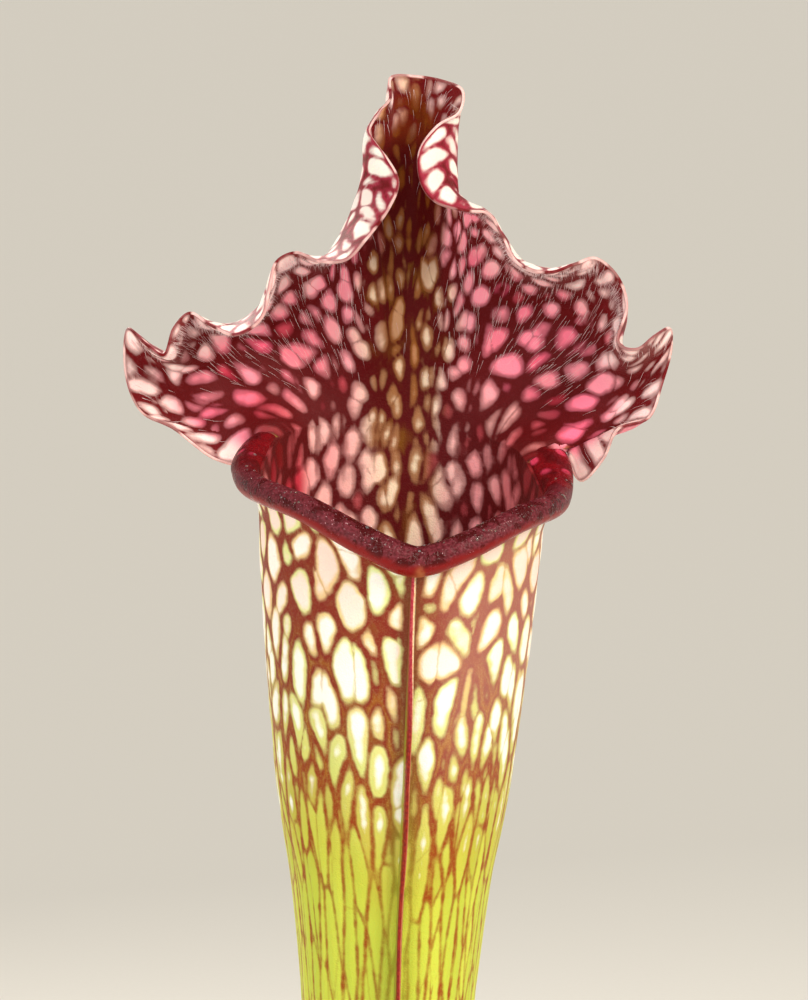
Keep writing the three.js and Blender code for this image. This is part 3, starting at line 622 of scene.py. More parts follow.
# %% Main veins, the margin's vein, and how wide veins are
# Half widths of the net's veins down the tube: [distance from the rim, half width in mm]
TUBE_VEINS = [
    [-225, 0.12], [-120, 0.15], [-70, 0.18], [-50, 0.23], [-36, 0.36], [-24, 0.45], [-8, 0.45], [0, 0.4],
]
TUBE_VARY, TUBE_CROSSING = 0.45, 0.85
HOOD_VARY, HOOD_CROSSING = 0.5, 0.7
MOUTH_HALF, HOOD_HALF = 0.36, 0.28  # half widths inside the mouth, and at the hood's midrib
WIDER_SIDES, WIDER_ENDS = 0.05, 0.12  # added to the sides, and low down by the lip's ends
WIDER_TONGUE = 0.3  # added in the middle of the tongue
INSIDE_LENGTH = 40.0  # stands for a vein's length inside the mouth, where there is no hood
# Main veins of the hood: [angle of the root, half width in mm]
MAIN_VEINS = np.array([
    [-55, 0.4], [-41, 0.5], [-27, 0.45], [-11.5, 0.35], [0.6, 0.6], [12, 0.35], [26, 0.45], [41, 0.5],
    [55, 0.4],
])
MAIN_WOBBLE = 0.9  # degrees
MARGIN_VEIN = 0.2  # mm inside the margin to the vein's inner edge
BACK_THINNER = 0.28  # the hood's veins are this much narrower on its outer face, on each side
CURL_THINNER = 0.3  # the same where the tip curls forwards and shows its outer face
WING_BAND = (1.3, 0.9)  # plain band beside the wing, to its left and right


def main_veins(angle, along, scale, length):
    """Distance into the windows from the nearest main vein, each a wavy line of constant root angle."""
    root = from_back(angle)
    usual = rise(along, -14, 16) * (1 - 0.75 * rise(along / length, 0.55, 0.4))
    best = np.full(angle.shape, FAR)
    for i, (at, half) in enumerate(MAIN_VEINS):
        grown = np.maximum(usual, np.abs(at) < 1)
        wave = MAIN_WOBBLE * np.sin(0.31 * along + 2.1 * i) * (1 - np.exp(-(at / 4) ** 2))
        best = np.minimum(best, np.abs(root - at - wave) * scale - half * grown + 0.6 * (1 - grown))
    return best


def inner_half_width(angle, along, length):
    """Half width of the net's veins on the hood's inner face and inside the mouth."""
    root = np.abs(from_back(angle))
    hood = HOOD_HALF + WIDER_SIDES * rise(root, 8, 14) + WIDER_ENDS * rise(root, 42, 8) * fall(along, 8, 8)
    tongue = rise(along, 26, 6) * fall(along / length, 0.88, 0.06)
    hood = hood + WIDER_TONGUE * fall(root, 3, 7) * tongue
    return mix(MOUTH_HALF, hood, rise(along, -10, 8))


outer_angle = np.broadcast_to(tube_angles, outer_z.shape)
inner_angle = np.broadcast_to(tube_angles, inner_z.shape)
outer_half = value_through(TUBE_VEINS, outer_along)
inner_half = inner_half_width(inner_angle, inner_along, INSIDE_LENGTH)
hood_half = inner_half_width(hood_angle, hood_along, hood_length)
outer_vary = TUBE_VARY * (1 - 0.6 * rise(-outer_along, 32, 20))
outer_window, outer_signed, outer_split, outer_strength = net(
    outer_angle, outer_along, tube_scale(outer_z), outer_half, outer_vary, TUBE_CROSSING)
inner_window, inner_signed, inner_split, inner_strength = net(
    inner_angle, inner_along, tube_scale(inner_z), inner_half, HOOD_VARY, HOOD_CROSSING)
hood_window, hood_signed, hood_split, hood_strength = net(
    hood_angle, hood_along, hood_scale, hood_half, HOOD_VARY, HOOD_CROSSING)

from_wing = from_front(outer_angle - WING_ANGLE) * tube_scale(outer_z)
beside_wing = np.where(from_wing < 0, -from_wing - WING_BAND[0], from_wing - WING_BAND[1])
wing_fade = 3.0 * rise(-outer_along, 14, 22)
outer_signed = soft_min(outer_signed, beside_wing + wing_fade)
to_margin = hood_length - hood_along
hood_main = main_veins(hood_angle, hood_along, hood_scale, hood_length)
thinner = mix(BACK_THINNER * smooth(to_margin / 12), CURL_THINNER, rise(hood_along, 22, 8))
hood_outer_signed = soft_min(hood_signed + thinner, to_margin - MARGIN_VEIN)
hood_signed = soft_min(soft_min(hood_signed, hood_main), to_margin - MARGIN_VEIN)
inner_main = main_veins(inner_angle, inner_along, tube_scale(inner_z), INSIDE_LENGTH)
inner_signed = soft_min(inner_signed, inner_main)
print("share of the hood that is vein:", (hood_signed < 0).mean().round(2))
print("share of the upper tube that is vein:", (outer_signed[-FINE_ROWS:] < 0).mean().round(2))

# %% [markdown]
# ## Faces
#
# A grid becomes faces by joining each point to its neighbours along the row and in the next row. These
# helpers do it for whole rows at once, close the ends and make sure that all faces look outwards.


# %% Faces
def band(rows, closed=False):
    """Four-sided faces between the rows of an array of point numbers, [row, column]."""
    ahead = np.roll(rows, -1, axis=1) if closed else rows[:, 1:]
    here = rows if closed else rows[:, :-1]
    return np.stack([here[:-1], ahead[:-1], ahead[1:], here[1:]], axis=-1).reshape(-1, 4)


def fan(middle, ring):
    """Three-sided faces from a middle point to each step of a closed ring of point numbers."""
    return np.column_stack([np.full(len(ring), middle), ring, np.roll(ring, -1)])


def volume(points, faces):
    """Volume inside arrays of flat faces, which is positive when they all point outwards."""
    total = 0.0
    for corners in faces:
        for last in range(2, corners.shape[1]):
            a, b, c = (points[corners[:, i]] for i in (0, last - 1, last))
            total += float(np.einsum("ij,ij->i", a, np.cross(b, c)).sum()) / 6
    return total


def turned_out(points, faces):
    """The same faces, turned round if they point into the shape."""
    return faces if volume(points, faces) > 0 else [corners[:, ::-1] for corners in faces]


def capped(rings, start=None, end=None):
    """A closed shape from rings of points, [ring, side, xyz], with a point that closes each end."""
    count = rings[..., 0].size
    numbers = np.arange(count).reshape(rings.shape[:2])
    start = rings[0].mean(axis=0) if start is None else start
    end = rings[-1].mean(axis=0) if end is None else end
    points = np.vstack([rings.reshape(-1, 3), start, end])
    return points, turned_out(points, [
        band(numbers, closed=True), fan(count, numbers[0])[:, ::-1], fan(count + 1, numbers[-1]),
    ])


def sheet(front, back):
    """A closed sheet between two layers of points, [row, column, xyz]: a loop of rows with capped sides."""
    points = np.concatenate([back, front[::-1]])
    numbers = np.arange(points[..., 0].size).reshape(points.shape[:2])
    rows = len(front)
    faces = [band(np.vstack([numbers, numbers[:1]]))]
    for column, turned in ((0, True), (numbers.shape[1] - 1, False)):
        up, down = numbers[:rows, column], numbers[rows:, column][::-1]
        cap = np.stack([up[:-1], up[1:], down[1:], down[:-1]], axis=-1)
        faces.append(cap[:, ::-1] if turned else cap)
    points = points.reshape(-1, 3)
    return points, turned_out(points, faces)


def cut_along(shape, depth):
    """Cuts each four-sided face in two along its lower diagonal, so that no thin slanting vein breaks.

    The lower diagonal is the one whose two ends have the smaller sum of the value that is given for each
    point.
    """
    points, face_sets = shape
    depth, cut = np.ravel(depth), []
    for corners in face_sets:
        if corners.shape[1] == 4:
            a, b, c, d = corners.T
            low = depth[a] + depth[c] < depth[b] + depth[d]
            halves = np.where(low, [a, b, c], [a, b, d]), np.where(low, [a, c, d], [b, c, d])
            corners = np.hstack(halves).T
        cut.append(corners)
    return points, cut


def together(shapes):
    """Several shapes as one: their points in one list, and their faces renumbered to match."""
    starts = np.cumsum([0] + [len(points) for points, _ in shapes[:-1]])
    faces = [corners + start for (_, group), start in zip(shapes, starts) for corners in group]
    return np.vstack([points for points, _ in shapes]), faces


# %% [markdown]
# ## Pieces
#
# A piece could be put together by hand and placed in the side panel. Here each one is made the same way:
# one helper turns its points, faces and per-point values into an object, and another gives it its
# material and its place in the frame.

# %% Meshes
def new_piece(name, shape, values=None, colours=None, crisp_rings=()):
    """A smooth mesh object from a shape's points in mm and faces, with named values and colours per point.

    The rows of points in crisp_rings keep a hard edge along each row, so both sides shade on their own.
    """
    points, face_sets = shape
    mesh = bpy.data.meshes.new(name)
    mesh.from_pydata((points * MM).tolist(), [], [face for faces in face_sets for face in faces.tolist()])
    for key, data in (values or {}).items():
        made = mesh.attributes.new(key, "FLOAT", "POINT")
        made.data.foreach_set("value", np.ravel(data).astype(np.float32))
    for key, data in (colours or {}).items():
        rgba = np.column_stack([data.reshape(-1, 3), np.ones(data.size // 3)]).astype(np.float32)
        made = mesh.attributes.new(key, "FLOAT_COLOR", "POINT")
        made.data.foreach_set("color", rgba.ravel())
    mesh.shade_smooth()
    if len(crisp_rings):
        ends = np.empty(2 * len(mesh.edges), int)
        mesh.edges.foreach_get("vertices", ends)
        ring_of = np.full(len(points), -1)
        for number, ring in enumerate(crisp_rings):
            ring_of[ring] = number
        low, high = ring_of[ends.reshape(-1, 2)].T
        sharp = mesh.attributes.new("sharp_edge", "BOOLEAN", "EDGE")
        sharp.data.foreach_set("value", (low >= 0) & (low == high))
    mesh.update()
    piece = bpy.data.objects.new(name, mesh)
    bpy.context.scene.collection.objects.link(piece)
    count = sum(len(faces) for faces in face_sets)
    print(name + ":", count, "faces,", round(volume(points, face_sets), 1), "cubic mm")
    return piece


def fit_in(piece, node, material):
    """Gives a piece its material and its place in the frame: the root body, and the solid it replaces is
    hidden.
    """
    piece.data.materials.append(material)
    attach(piece, "root")
    if node:
        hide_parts(node)


# %% [markdown]
# ## Colours of the leaf
#
# The windows are white high on the tube and turn green lower down. In the hood they go from cream at the
# midrib through rose to pale pink at the margin. The veins are terracotta on the tube and dark maroon in
# the hood. It could be painted on by hand. But these colours vary slowly over the leaf, so they are
# worked out per point, and the material only draws the sharp edges.

# %% Colours of the leaf
def colour(code):
    """A colour from its hex code, turned from screen values into the linear ones that light works with."""
    channels = np.array([int(code[i:i + 2], 16) for i in (1, 3, 5)]) / 255
    return np.where(channels <= 0.04045, channels / 12.92, ((channels + 0.055) / 1.055) ** 2.4)


def layered(base, *layers):
    """Starts from a colour everywhere, then lays colours over it, each by its own 0 to 1 amounts."""
    result = base
    for amount, over in layers:
        result = mix(result, over, np.clip(amount, 0, 1)[..., None])
    return result


def colours(codes):
    """Several colours from their hex codes."""
    return [colour(code) for code in codes.split()]


WHITE, CREAM, PEACH, PALE_PINK, EDGE_HIGHLIGHT_PINK = colours("#fffbee #ffe9c8 #ffd6c4 #ffd8d2 #f4c8c2")
ROSE, PINK, CRIMSON, DEEP_RED = colours("#fa5a82 #ffa2b0 #c01c38 #6c0406")
AMBER, GOLD, GLOW, TONGUE_SHADE = colours("#b86a1c #8a5a14 #8a3c06 #6a1408")
LIME, GREEN, STALK_GREEN, OLIVE, APRICOT, OCHRE = colours("#d6dd50 #adbe3a #9a9f3c #9a7a2a #f0b088 #b8862a")
TERRACOTTA, BRICK, STALK_RED, BARK, PAINTED_LIGHT_ROSE = colours("#84281c #9c4410 #8a3f28 #86583a #dca292")
MAROON, BLACK_MAROON = colours("#7e1019 #560507")
TUBE_BLUR, HOOD_BLUR = 0.14, 0.26  # half of the width over which a vein's edge fades, in mm
print("amber:", AMBER.round(3))

# %% [markdown]
# Down the tube, a window's coloured edge grows until it fills the window. The veins turn brick red.
# Beside the wing they are brown, and on the right they are painted a lighter rose as a highlight from the
# key light on that side. Every zone is a smooth step over some millimetres, and each window has its own
# tint, so no zone ends in a line.

# %% Colours of the tube
# How deep the window's coloured edge reaches, down the tube: [distance from the rim, mm]
HALO_DEPTH = [[-225, 9.0], [-60, 9.0], [-52, 3.0], [-44, 0.95], [-34, 0.38], [-24, 0.14], [0, 0.03]]
# Zones down the tube: how far below the rim one starts, and over how many mm it comes in
GREEN_ZONE, STALK_ZONE = (22, 26), (110, 90)
OCHRE_ZONE, OCHRE_END, RIGHT_LIGHT_END = (15, 9), (42, 12), (18, 24)
# Angles from the front at which the right side's painted highlight comes in, and goes out
RIGHT_LIGHT_START_ANGLE, RIGHT_LIGHT_END_ANGLE = (6, 26), (95, 20)
WING_STRIP = 1.7  # mm beside the wing where veins are brown
CORNER_START, CORNER_END = (68.0, 16), (132, 14)  # degrees round the mouth to and from its deep red corners


def in_corner(angle):
    """1 where the lip's end melts into the hood, at both sides of the mouth, and 0 elsewhere."""
    aside = np.abs(from_front(angle))
    return rise(aside, *CORNER_START) * fall(aside, *CORNER_END)


def tube_look(angle, along, window, strength, signed, from_wing):
    """Colours of window, window's edge and vein on the tube's outside, and the numbers that place them.

    They are the edge's depth, the blur between vein and window, the painted glow that stands for light let
    through, and the flecks.
    """
    down = -along
    tint = window_tint[window]
    whole = np.ones(angle.shape + (3,))
    green, low = rise(down, *GREEN_ZONE), rise(down, *STALK_ZONE)
    by_wing = np.exp(-(from_wing / WING_STRIP) ** 2)
    deep = rise(-signed, 0.35, 0.4)
    turning = rise(down, *OCHRE_ZONE) * fall(down, *OCHRE_END)
    turned = from_front(angle)
    # Painted highlight: the veins on the tube's right side, which faces the key light, turn a lighter rose
    # near the rim
    painted_right_light = rise(turned, *RIGHT_LIGHT_START_ANGLE) * fall(turned, *RIGHT_LIGHT_END_ANGLE) * fall(down, *RIGHT_LIGHT_END)
    heart = layered(WHITE * whole, (0.7 * smooth(0.5 + tint[..., 1]) * rise(along, -22, 14), PEACH))
    edge = layered(
        LIME * whole,
        (0.3 * green + 0.2 * tint[..., 2], GREEN),
        (low, STALK_GREEN),
        (0.3 * (1 - green), WHITE),
        (0.6 * smooth(0.5 + tint[..., 2]) * rise(along, -32, 16), APRICOT),
        (0.4 * turning * (0.7 + 0.5 * tint[..., 0]), OCHRE),
    )
    vein = layered(
        TERRACOTTA * whole,
        (green, BRICK),
        (low, STALK_RED),
        (deep * mix(0.05, 0.5, turning), OCHRE),
        ((1 - smooth(strength / 0.4)) * mix(0.3, 0.5, green), OLIVE),
        (by_wing * mix(0.5, 0.8, green), mix(BARK, GREEN, green[..., None])),
        # painted highlight on the right side
        (0.3 * painted_right_light, PAINTED_LIGHT_ROSE),
    )
    under_lip = in_corner(angle) * rise(along, -3, 2)
    heart, edge, vein = (layered(tone, (under_lip, DEEP_RED)) for tone in (heart, edge, vein))
    return {"heart": heart, "edge": edge, "vein": vein}, {
        "halo": value_through(HALO_DEPTH, along + 7 * tint[..., 0]), "blur": TUBE_BLUR + 0 * along,
        # painted glow: the tube's skin gives off a share of its own colour, less on its green lower part
        "painted_glow": 0.25 - 0.2 * green, "flecks": 0.06 + 0.1 * green + 0.1 * deep * turning,
    }


# %% [markdown]
# Inside, the hood is creamy amber at its midrib, then pink and rose, and pale pink in its upper lobes and
# at its tip. Its zones lie by the angle from the midrib and by the share of the way up a vein. The outer
# face carries on the tube's white windows and terracotta veins.

# %% Colours of the hood
# Painted highlight: width of the thin pale pink line where the hood's margin catches the light
MARGIN_HIGHLIGHT_WIDTH = 0.22  # mm of pale skin at the hood's margin
HOOD_FLECKS, HOOD_HALO = 0.03, 0.12
TIP_ZONE = (0.84, 0.08)  # share of the way up at which the tip's pale windows start
# Painted glow: the least share of its colour that the hood's skin gives off, standing in for light let
# through
PAINTED_GLOW_BASE = 0.25  # light let through where the hood is thick


def margin_edge_highlight(along, length, tint):
    """A painted pale pink highlight where the hood's margin catches the light, broken here and there."""
    to_margin = np.where(along > 0, (length - along) / MARGIN_HIGHLIGHT_WIDTH, FAR)
    return (1 - smooth(to_margin)) * smooth(0.5 - tint[..., 0]), EDGE_HIGHLIGHT_PINK


def hood_numbers(along, blur, painted_glow):
    """The numbers that place the colours in the hood, as in tube_look()."""
    even = 0 * along
    return {"halo": HOOD_HALO + even, "blur": blur + even, "flecks": HOOD_FLECKS + even, "painted_glow": painted_glow + even}


def hood_front_look(angle, along, length, window, strength):
    """Colours and numbers as in tube_look(), for the hood's inner face and the tube's inside."""
    tint = window_tint[window]
    first, second, third = np.moveaxis(tint, -1, 0)
    root = from_back(angle)
    aside = np.abs(root) + 4 * first
    share = np.clip(along / length, 0, 1) + 0.08 * second
    whole = np.ones(angle.shape + (3,))
    upper, tip = rise(along, 14, 12), rise(share, *TIP_ZONE)
    dim = is_small[window] * rise(aside, 6, 8) * fall(share, 0.5, 0.3)
    corner = rise(np.abs(root), 42, 10) * fall(share, 0.16, 0.2)
    at_end = rise(np.abs(root), 52, 5) * fall(np.abs(along), 3, 4)
    midrib = fall(np.abs(root), 4.5, 4)
    rosy = rise(aside, mix(18, 8, upper), 14) * (0.5 + 0.45 * third) * (0.4 + 0.6 * smooth(share / 0.3))
    heart = layered(
        CREAM * whole,
        (rise(aside, 5, 10) * 0.85, PEACH),
        (rise(aside, mix(11, 4, upper), 10) * (0.4 + 0.6 * smooth(share / 0.45)), PINK),
        (rosy, ROSE),
        (rise(share, 0.5, 0.3) * rise(aside, 14, 14), PALE_PINK),
        (midrib * (0.45 + 0.4 * third) * rise(along, -4, 10), AMBER),
        (dim * 0.8, CRIMSON),
        (corner * (0.75 + 0.25 * second), CRIMSON),
        (at_end * (0.6 + 0.4 * second), DEEP_RED),
        # Painted shade: the middle of the tongue, in its own shadow, is darkened to mahogany
        (fall(aside, 8, 5) * rise(along, 19, 9) * (0.7 + 0.3 * second) * (1 - tip), TONGUE_SHADE),
        (midrib * rise(along, 42, 8) * 0.4, AMBER),
        (tip * rise(aside, 1, 3), PALE_PINK),
    )
    heart = np.clip(heart * (1 + 0.1 * tint[..., 1:2]), 0, 1)
    amber = fall(aside, mix(9, 5, upper), 6) * fall(share, 0.8, 0.1)
    glow = fall(np.abs(root + 0.5), 1.5, 3) * rise(along, 38, 6) * fall(share, 0.84, 0.1)
    heart = layered(heart, (glow * 0.7, GLOW))
    edge = layered(mix(heart, DEEP_RED, 0.55), (amber * 0.7, mix(AMBER, GOLD, 0.5)))
    vein = layered(
        MAROON * whole,
        (0.9 - 0.35 * rise(share, 0.6, 0.4), BLACK_MAROON),
        (amber * (1 - smooth(strength / 0.45)) * 0.8, GOLD),
        (glow * 0.55, GLOW),
        # painted highlight along the margin's edge
        margin_edge_highlight(along, length, tint),
    )
    # Painted glow: more colour is given off in the upper lobes and at the tip, which lie in shade
    side_light = 0.3 * smooth(share / 0.35) + 0.45 * rise(share, 0.5, 0.3)
    painted_glow = PAINTED_GLOW_BASE + mix(0.7 * rise(share, 0.8, 0.1), side_light, rise(aside, 6, 8))
    return {"heart": heart, "edge": edge, "vein": vein}, hood_numbers(along, HOOD_BLUR, painted_glow)


def hood_back_look(angle, along, length, window):
    """The same on the hood's outer face, which carries on from the tube's outside."""
    tint = window_tint[window]
    share = np.clip(along / length, 0, 1)
    whole = np.ones(angle.shape + (3,))
    low_lobe = rise(np.abs(from_back(angle)), 54, 6)
    heart = layered(
        WHITE * whole,
        (rise(share, 0.35, 0.5) * (0.35 + 0.35 * tint[..., 0]), PALE_PINK),
        (low_lobe * 0.8, ROSE),
    )
    edge = layered(LIME * whole, (rise(share, 0.1, 0.4), mix(ROSE, MAROON, 0.8)))
    vein = layered(
        TERRACOTTA * whole,
        (rise(share, 0.15, 0.35), mix(MAROON, BLACK_MAROON, 0.5)),
        # painted highlight along the margin's edge
        margin_edge_highlight(along, length, tint),
    )
    return {"heart": heart, "edge": edge, "vein": vein}, hood_numbers(along, TUBE_BLUR, PAINTED_GLOW_BASE)


# %% [markdown]
# ## The tube
#
# The windows swell a little between the veins, on both faces, like quilting. That could be faked in the
# material. Here it is in the points, so the mesh has it too. The tube is one run of rings, up the outside
# and down the inside, so it has a real hollow.

# %% Tube
RELIEF = 0.12  # how far a window stands out


def swelling(signed):
    """How far the skin stands out at a distance into the window: a smooth step up from the vein."""
    return RELIEF * rise(signed, -0.3, 1.3)


outer_out = flare(outer_angle, outer_z) + swelling(outer_signed) * smooth(-outer_along / 2.0)
inner_out = flare(inner_angle, inner_z) - TUBE_WALL - swelling(inner_signed) * smooth(-inner_along / 2.0)
tube_rings = np.concatenate([
    tube_point(outer_angle, outer_z, outer_out), tube_point(inner_angle, inner_z, inner_out),
])
numbers = np.arange(tube_rings[..., 0].size).reshape(tube_rings.shape[:2])
foot, well = [leaf_middle(LEAF_FOOT_Z), 0, LEAF_FOOT_Z], [leaf_middle(HOLLOW_Z), 0, HOLLOW_Z - HOLLOW_DIP]

outer_look, outer_skin = tube_look(
    outer_angle, outer_along, outer_window, outer_strength, outer_signed, from_wing)
inner_look, inner_skin = hood_front_look(
    inner_angle, inner_along, INSIDE_LENGTH, inner_window, inner_strength)


def with_ends(outer, inner):
    """Joins the values of the tube's outside and inside, and repeats the last for the two end points."""
    flat = np.concatenate([outer, inner]).reshape(numbers.size, -1)
    return np.vstack([flat, flat[-1:], flat[-1:]])


tube_window = with_ends(outer_signed, inner_signed)
tube = new_piece(
    "pitcher_tube", cut_along(capped(tube_rings, foot, well), tube_window),
    values={
        "window": tube_window, "split": with_ends(outer_split, inner_split),
        **{key: with_ends(outer_skin[key], inner_skin[key]) for key in outer_skin},
    },
    colours={key: with_ends(outer_look[key], inner_look[key]) for key in outer_look},
    crisp_rings=[numbers[len(outer_z) - 1], numbers[len(outer_z)]],
)

# %% [markdown]
# ## The hood
#
# The hood is a sheet with two faces, thick where it leaves the tube and thin at the frill. A solidify
# modifier would come close, but its two faces couldn't carry windows of their own. So both are laid out
# from the middle sheet and closed round all their edges.

# %% Hood
HOOD_THICKNESS = 0.9
MARGIN_THICKNESS = 0.35
THINNING = 3.0  # mm over which the sheet thins towards the margin
BLEND_SHARE = 0.09  # share of each vein over which the hood's face turns out of the tube's
ROOT_SHARE = 0.15  # share over which it thins from the tube's wall
BACK_SWELLING = 0.7  # how much windows swell behind, against those in front

along_step = np.gradient(hood_sheet, axis=0)
across_step = np.gradient(hood_sheet, axis=1)
turn = np.radians(hood_angle)
inward = xyz(-np.sin(turn), np.cos(turn), 0.0)
blend = smooth(hood_s / BLEND_SHARE)[:, None, None]
hood_normal = unit(mix(inward, unit(np.cross(across_step, along_step)), blend))
thickness = mix(TUBE_WALL, HOOD_THICKNESS, smooth(hood_s / ROOT_SHARE))[:, None]
thickness = mix(MARGIN_THICKNESS, thickness, smooth(to_margin / THINNING))
puff = smooth(hood_along / 2.5)
front = hood_sheet + hood_normal * (thickness / 2 + swelling(hood_signed) * puff)[..., None]
back_puff = BACK_SWELLING * swelling(hood_outer_signed) * puff
back = hood_sheet - hood_normal * (thickness / 2 + back_puff)[..., None]

front_look, front_skin = hood_front_look(hood_angle, hood_along, hood_length, hood_window, hood_strength)
back_look, back_skin = hood_back_look(hood_angle, hood_along, hood_length, hood_window)


def two_faces(outer, inner):
    """Joins the values of the hood's outer and inner face, in the order of the sheet's points."""
    return np.concatenate([outer, inner[::-1]])


hood_windows = two_faces(hood_outer_signed, hood_signed)
hood = new_piece(
    "pitcher_hood", cut_along(sheet(front, back), hood_windows),
    values={
        "window": hood_windows, "split": two_faces(hood_split, hood_split),
        **{key: two_faces(back_skin[key], front_skin[key]) for key in front_skin},
    },
    colours={key: two_faces(back_look[key], front_look[key]) for key in front_look},
    crisp_rings=[np.arange(HOOD_COLUMNS + 1), np.arange(-HOOD_COLUMNS - 1, 0)],
)


# %% [markdown]
# ## Materials from recipes
#
# Each material is a chain of nodes. Setting them by hand takes many lines, so a small recipe class adds a
# node, fills its inputs with numbers, colours or other nodes, and hands on the result. All patterns read
# the piece's own coordinates or its own per-point values, so they stay on the piece when it moves.


# %% Recipe for a material
class Recipe:
    """Makes one material. Each method adds a node and returns its result, which the next one can take."""

    def __init__(self, name):
        self.material = bpy.data.materials.new(name)
        self.material.use_nodes = True
        self.tree = self.material.node_tree
        self.tree.nodes.clear()
        self.where = self.add("ShaderNodeTexCoord").outputs["Object"]

    def add(self, kind, inputs=None, **settings):
        """A node with its settings. Its inputs are other nodes' results, numbers or colours' hex codes."""
        made = self.tree.nodes.new(kind)
        for key, value in settings.items():
            setattr(made, key, value)
        for key, value in (inputs or {}).items():
            if isinstance(value, bpy.types.NodeSocket):
                self.tree.links.new(value, made.inputs[key])
            else:
                made.inputs[key].default_value = (*colour(value), 1) if isinstance(value, str) else value
        return made

    def point_value(self, name):
        """The piece's own number of that name at each point."""
        return self.add("ShaderNodeAttribute", attribute_name=name).outputs["Fac"]

    def point_colour(self, name):
        """The piece's own colour of that name at each point."""
        return self.add("ShaderNodeAttribute", attribute_name=name).outputs["Color"]

    def noise(self, scale, detail=2, stretch=(1, 1, 1)):
        """Noise of about -1 to 1, `scale` waves per metre, and more along an axis with more stretch."""
        stretched = self.add("ShaderNodeVectorMath", {0: self.where, 1: stretch}, operation="MULTIPLY")
        inputs = {"Vector": stretched.outputs[0], "Scale": scale, "Detail": detail}
        return self.add("ShaderNodeTexNoise", inputs, normalize=False).outputs["Fac"]

    def step(self, value, low, high, least=0.0, most=1.0):
        """Goes smoothly from `least` at `low` to `most` at `high`."""
        inputs = {"Value": value, "From Min": low, "From Max": high, "To Min": least, "To Max": most}
        made = self.add("ShaderNodeMapRange", inputs, interpolation_type="SMOOTHSTEP", clamp=True)
        return made.outputs["Result"]

    def blend(self, amount, a, b, how="MIX"):
        """Colour a with the share `amount` of colour b over it."""
        inputs = {0: amount, 6: a, 7: b}
        return self.add("ShaderNodeMix", inputs, data_type="RGBA", blend_type=how).outputs[2]

    def tones(self, pattern, first, second, low=-0.4, high=0.4):
        """A colour that goes from the first to the second as the pattern goes from low to high."""
        return self.blend(self.step(pattern, low, high), first, second)

    def maths(self, operation, *values):
        """One sum, product or the like of numbers or patterns."""
        return self.add("ShaderNodeMath", dict(enumerate(values)), operation=operation).outputs[0]

    def plus(self, a, b, share):
        """a + share * b."""
        return self.maths("MULTIPLY_ADD", b, share, a)

    def finish(self, height=None, relief=0.1, **inputs):
        """Adds the shader. The pattern `height`, of about -1 to 1, stands out by `relief` mm."""
        sockets = {}
        for key, value in inputs.items():
            sockets[key.replace("_", " ").title().replace("Ior", "IOR")] = value
        if height is not None:
            bump = self.add("ShaderNodeBump", {"Height": height, "Distance": relief * MM})
            sockets["Normal"] = bump.outputs[0]
        shader = self.add("ShaderNodeBsdfPrincipled", sockets)
        self.add("ShaderNodeOutputMaterial", {"Surface": shader.outputs[0]})
        return self.material


# %% [markdown]
# The skin is thin, a little waxy and lets light through. Its pattern could be an image, but that would
# blur up close. The per-point distances let the material draw each edge sharp, and a little noise moves
# the edges, so they don't look ruled. A share of each colour is given off as a painted glow, which stands
# in for the light that comes through the leaf from behind and brightens the parts in shade.

# %% Leaf material
FLESH = {"subsurface_radius": (1.0, 0.3, 0.2), "subsurface_scale": MM}  # red light goes deepest


def leaf_material():
    """Draws windows and veins from the skin's own per-point values, and lets light sink in a little."""
    make = Recipe("leaf skin")
    fine, middle, broad = make.noise(5200, 1), make.noise(1300, 1), make.noise(420, 1)
    window = make.plus(make.plus(make.point_value("window"), middle, 0.05), broad, 0.14)
    heart, edge, vein = (make.point_colour(name) for name in ("heart", "edge", "vein"))
    past_halo = make.maths("SUBTRACT", make.plus(window, broad, 0.3), make.point_value("halo"))
    skin = make.blend(make.step(past_halo, -0.1, 0.5), edge, heart)
    from_line = make.maths("ABSOLUTE", make.plus(make.point_value("split"), middle, 0.12))
    lobe_line = make.step(from_line, 0.26, 0.0, 0.0, 0.6)
    lobe_line = make.maths("MULTIPLY", lobe_line, make.step(make.plus(window, broad, 1.2), 1.6, 0.5))
    skin = make.blend(lobe_line, skin, make.blend(0.35, edge, vein))
    flecks = make.step(make.plus(fine, middle, 0.5), -0.2, 0.7)
    flecks = make.maths("MULTIPLY", flecks, make.point_value("flecks"))
    flecks = make.maths("ADD", flecks, make.step(make.plus(window, broad, 0.15), -0.4, 0.0, 0.0, 0.5))
    inside = make.step(make.maths("DIVIDE", window, make.point_value("blur")), -1.0, 1.0)
    skin = make.blend(inside, make.blend(flecks, vein, edge), skin)
    return make.finish(
        height=make.noise(4200, 3), relief=0.03, base_color=skin, roughness=0.5, specular_ior_level=0.12,
        subsurface_weight=0.2, **FLESH,
        sheen_weight=0.15, sheen_roughness=0.4, sheen_tint="#ffe0d4",
        # Painted glow: the skin gives off its own colour by the per-point share, which brightens the parts
        # in shade
        emission_color=make.blend(make.point_value("painted_glow"), "#000000", skin), emission_strength=0.3,
    )


skin_material = leaf_material()
for piece in (tube, hood):
    fit_in(piece, "pitcher", skin_material)


# %% [markdown]
# ## The lip
#
# The mouth's edge rolls outwards into a firm, shiny lip that insects land on. A round bar could be swept
# along the rim, but the real roll is wider than it is high, and unrolls at its ends. So its inner and
# outer edges are laid out along the rim, and at each step an oval ring of points is set between them. At
# both ends the ring flattens and arches, until it runs out on the hood.

# %% Lip
LIP_REACH = 120.0  # angle from the front at which the lip runs out
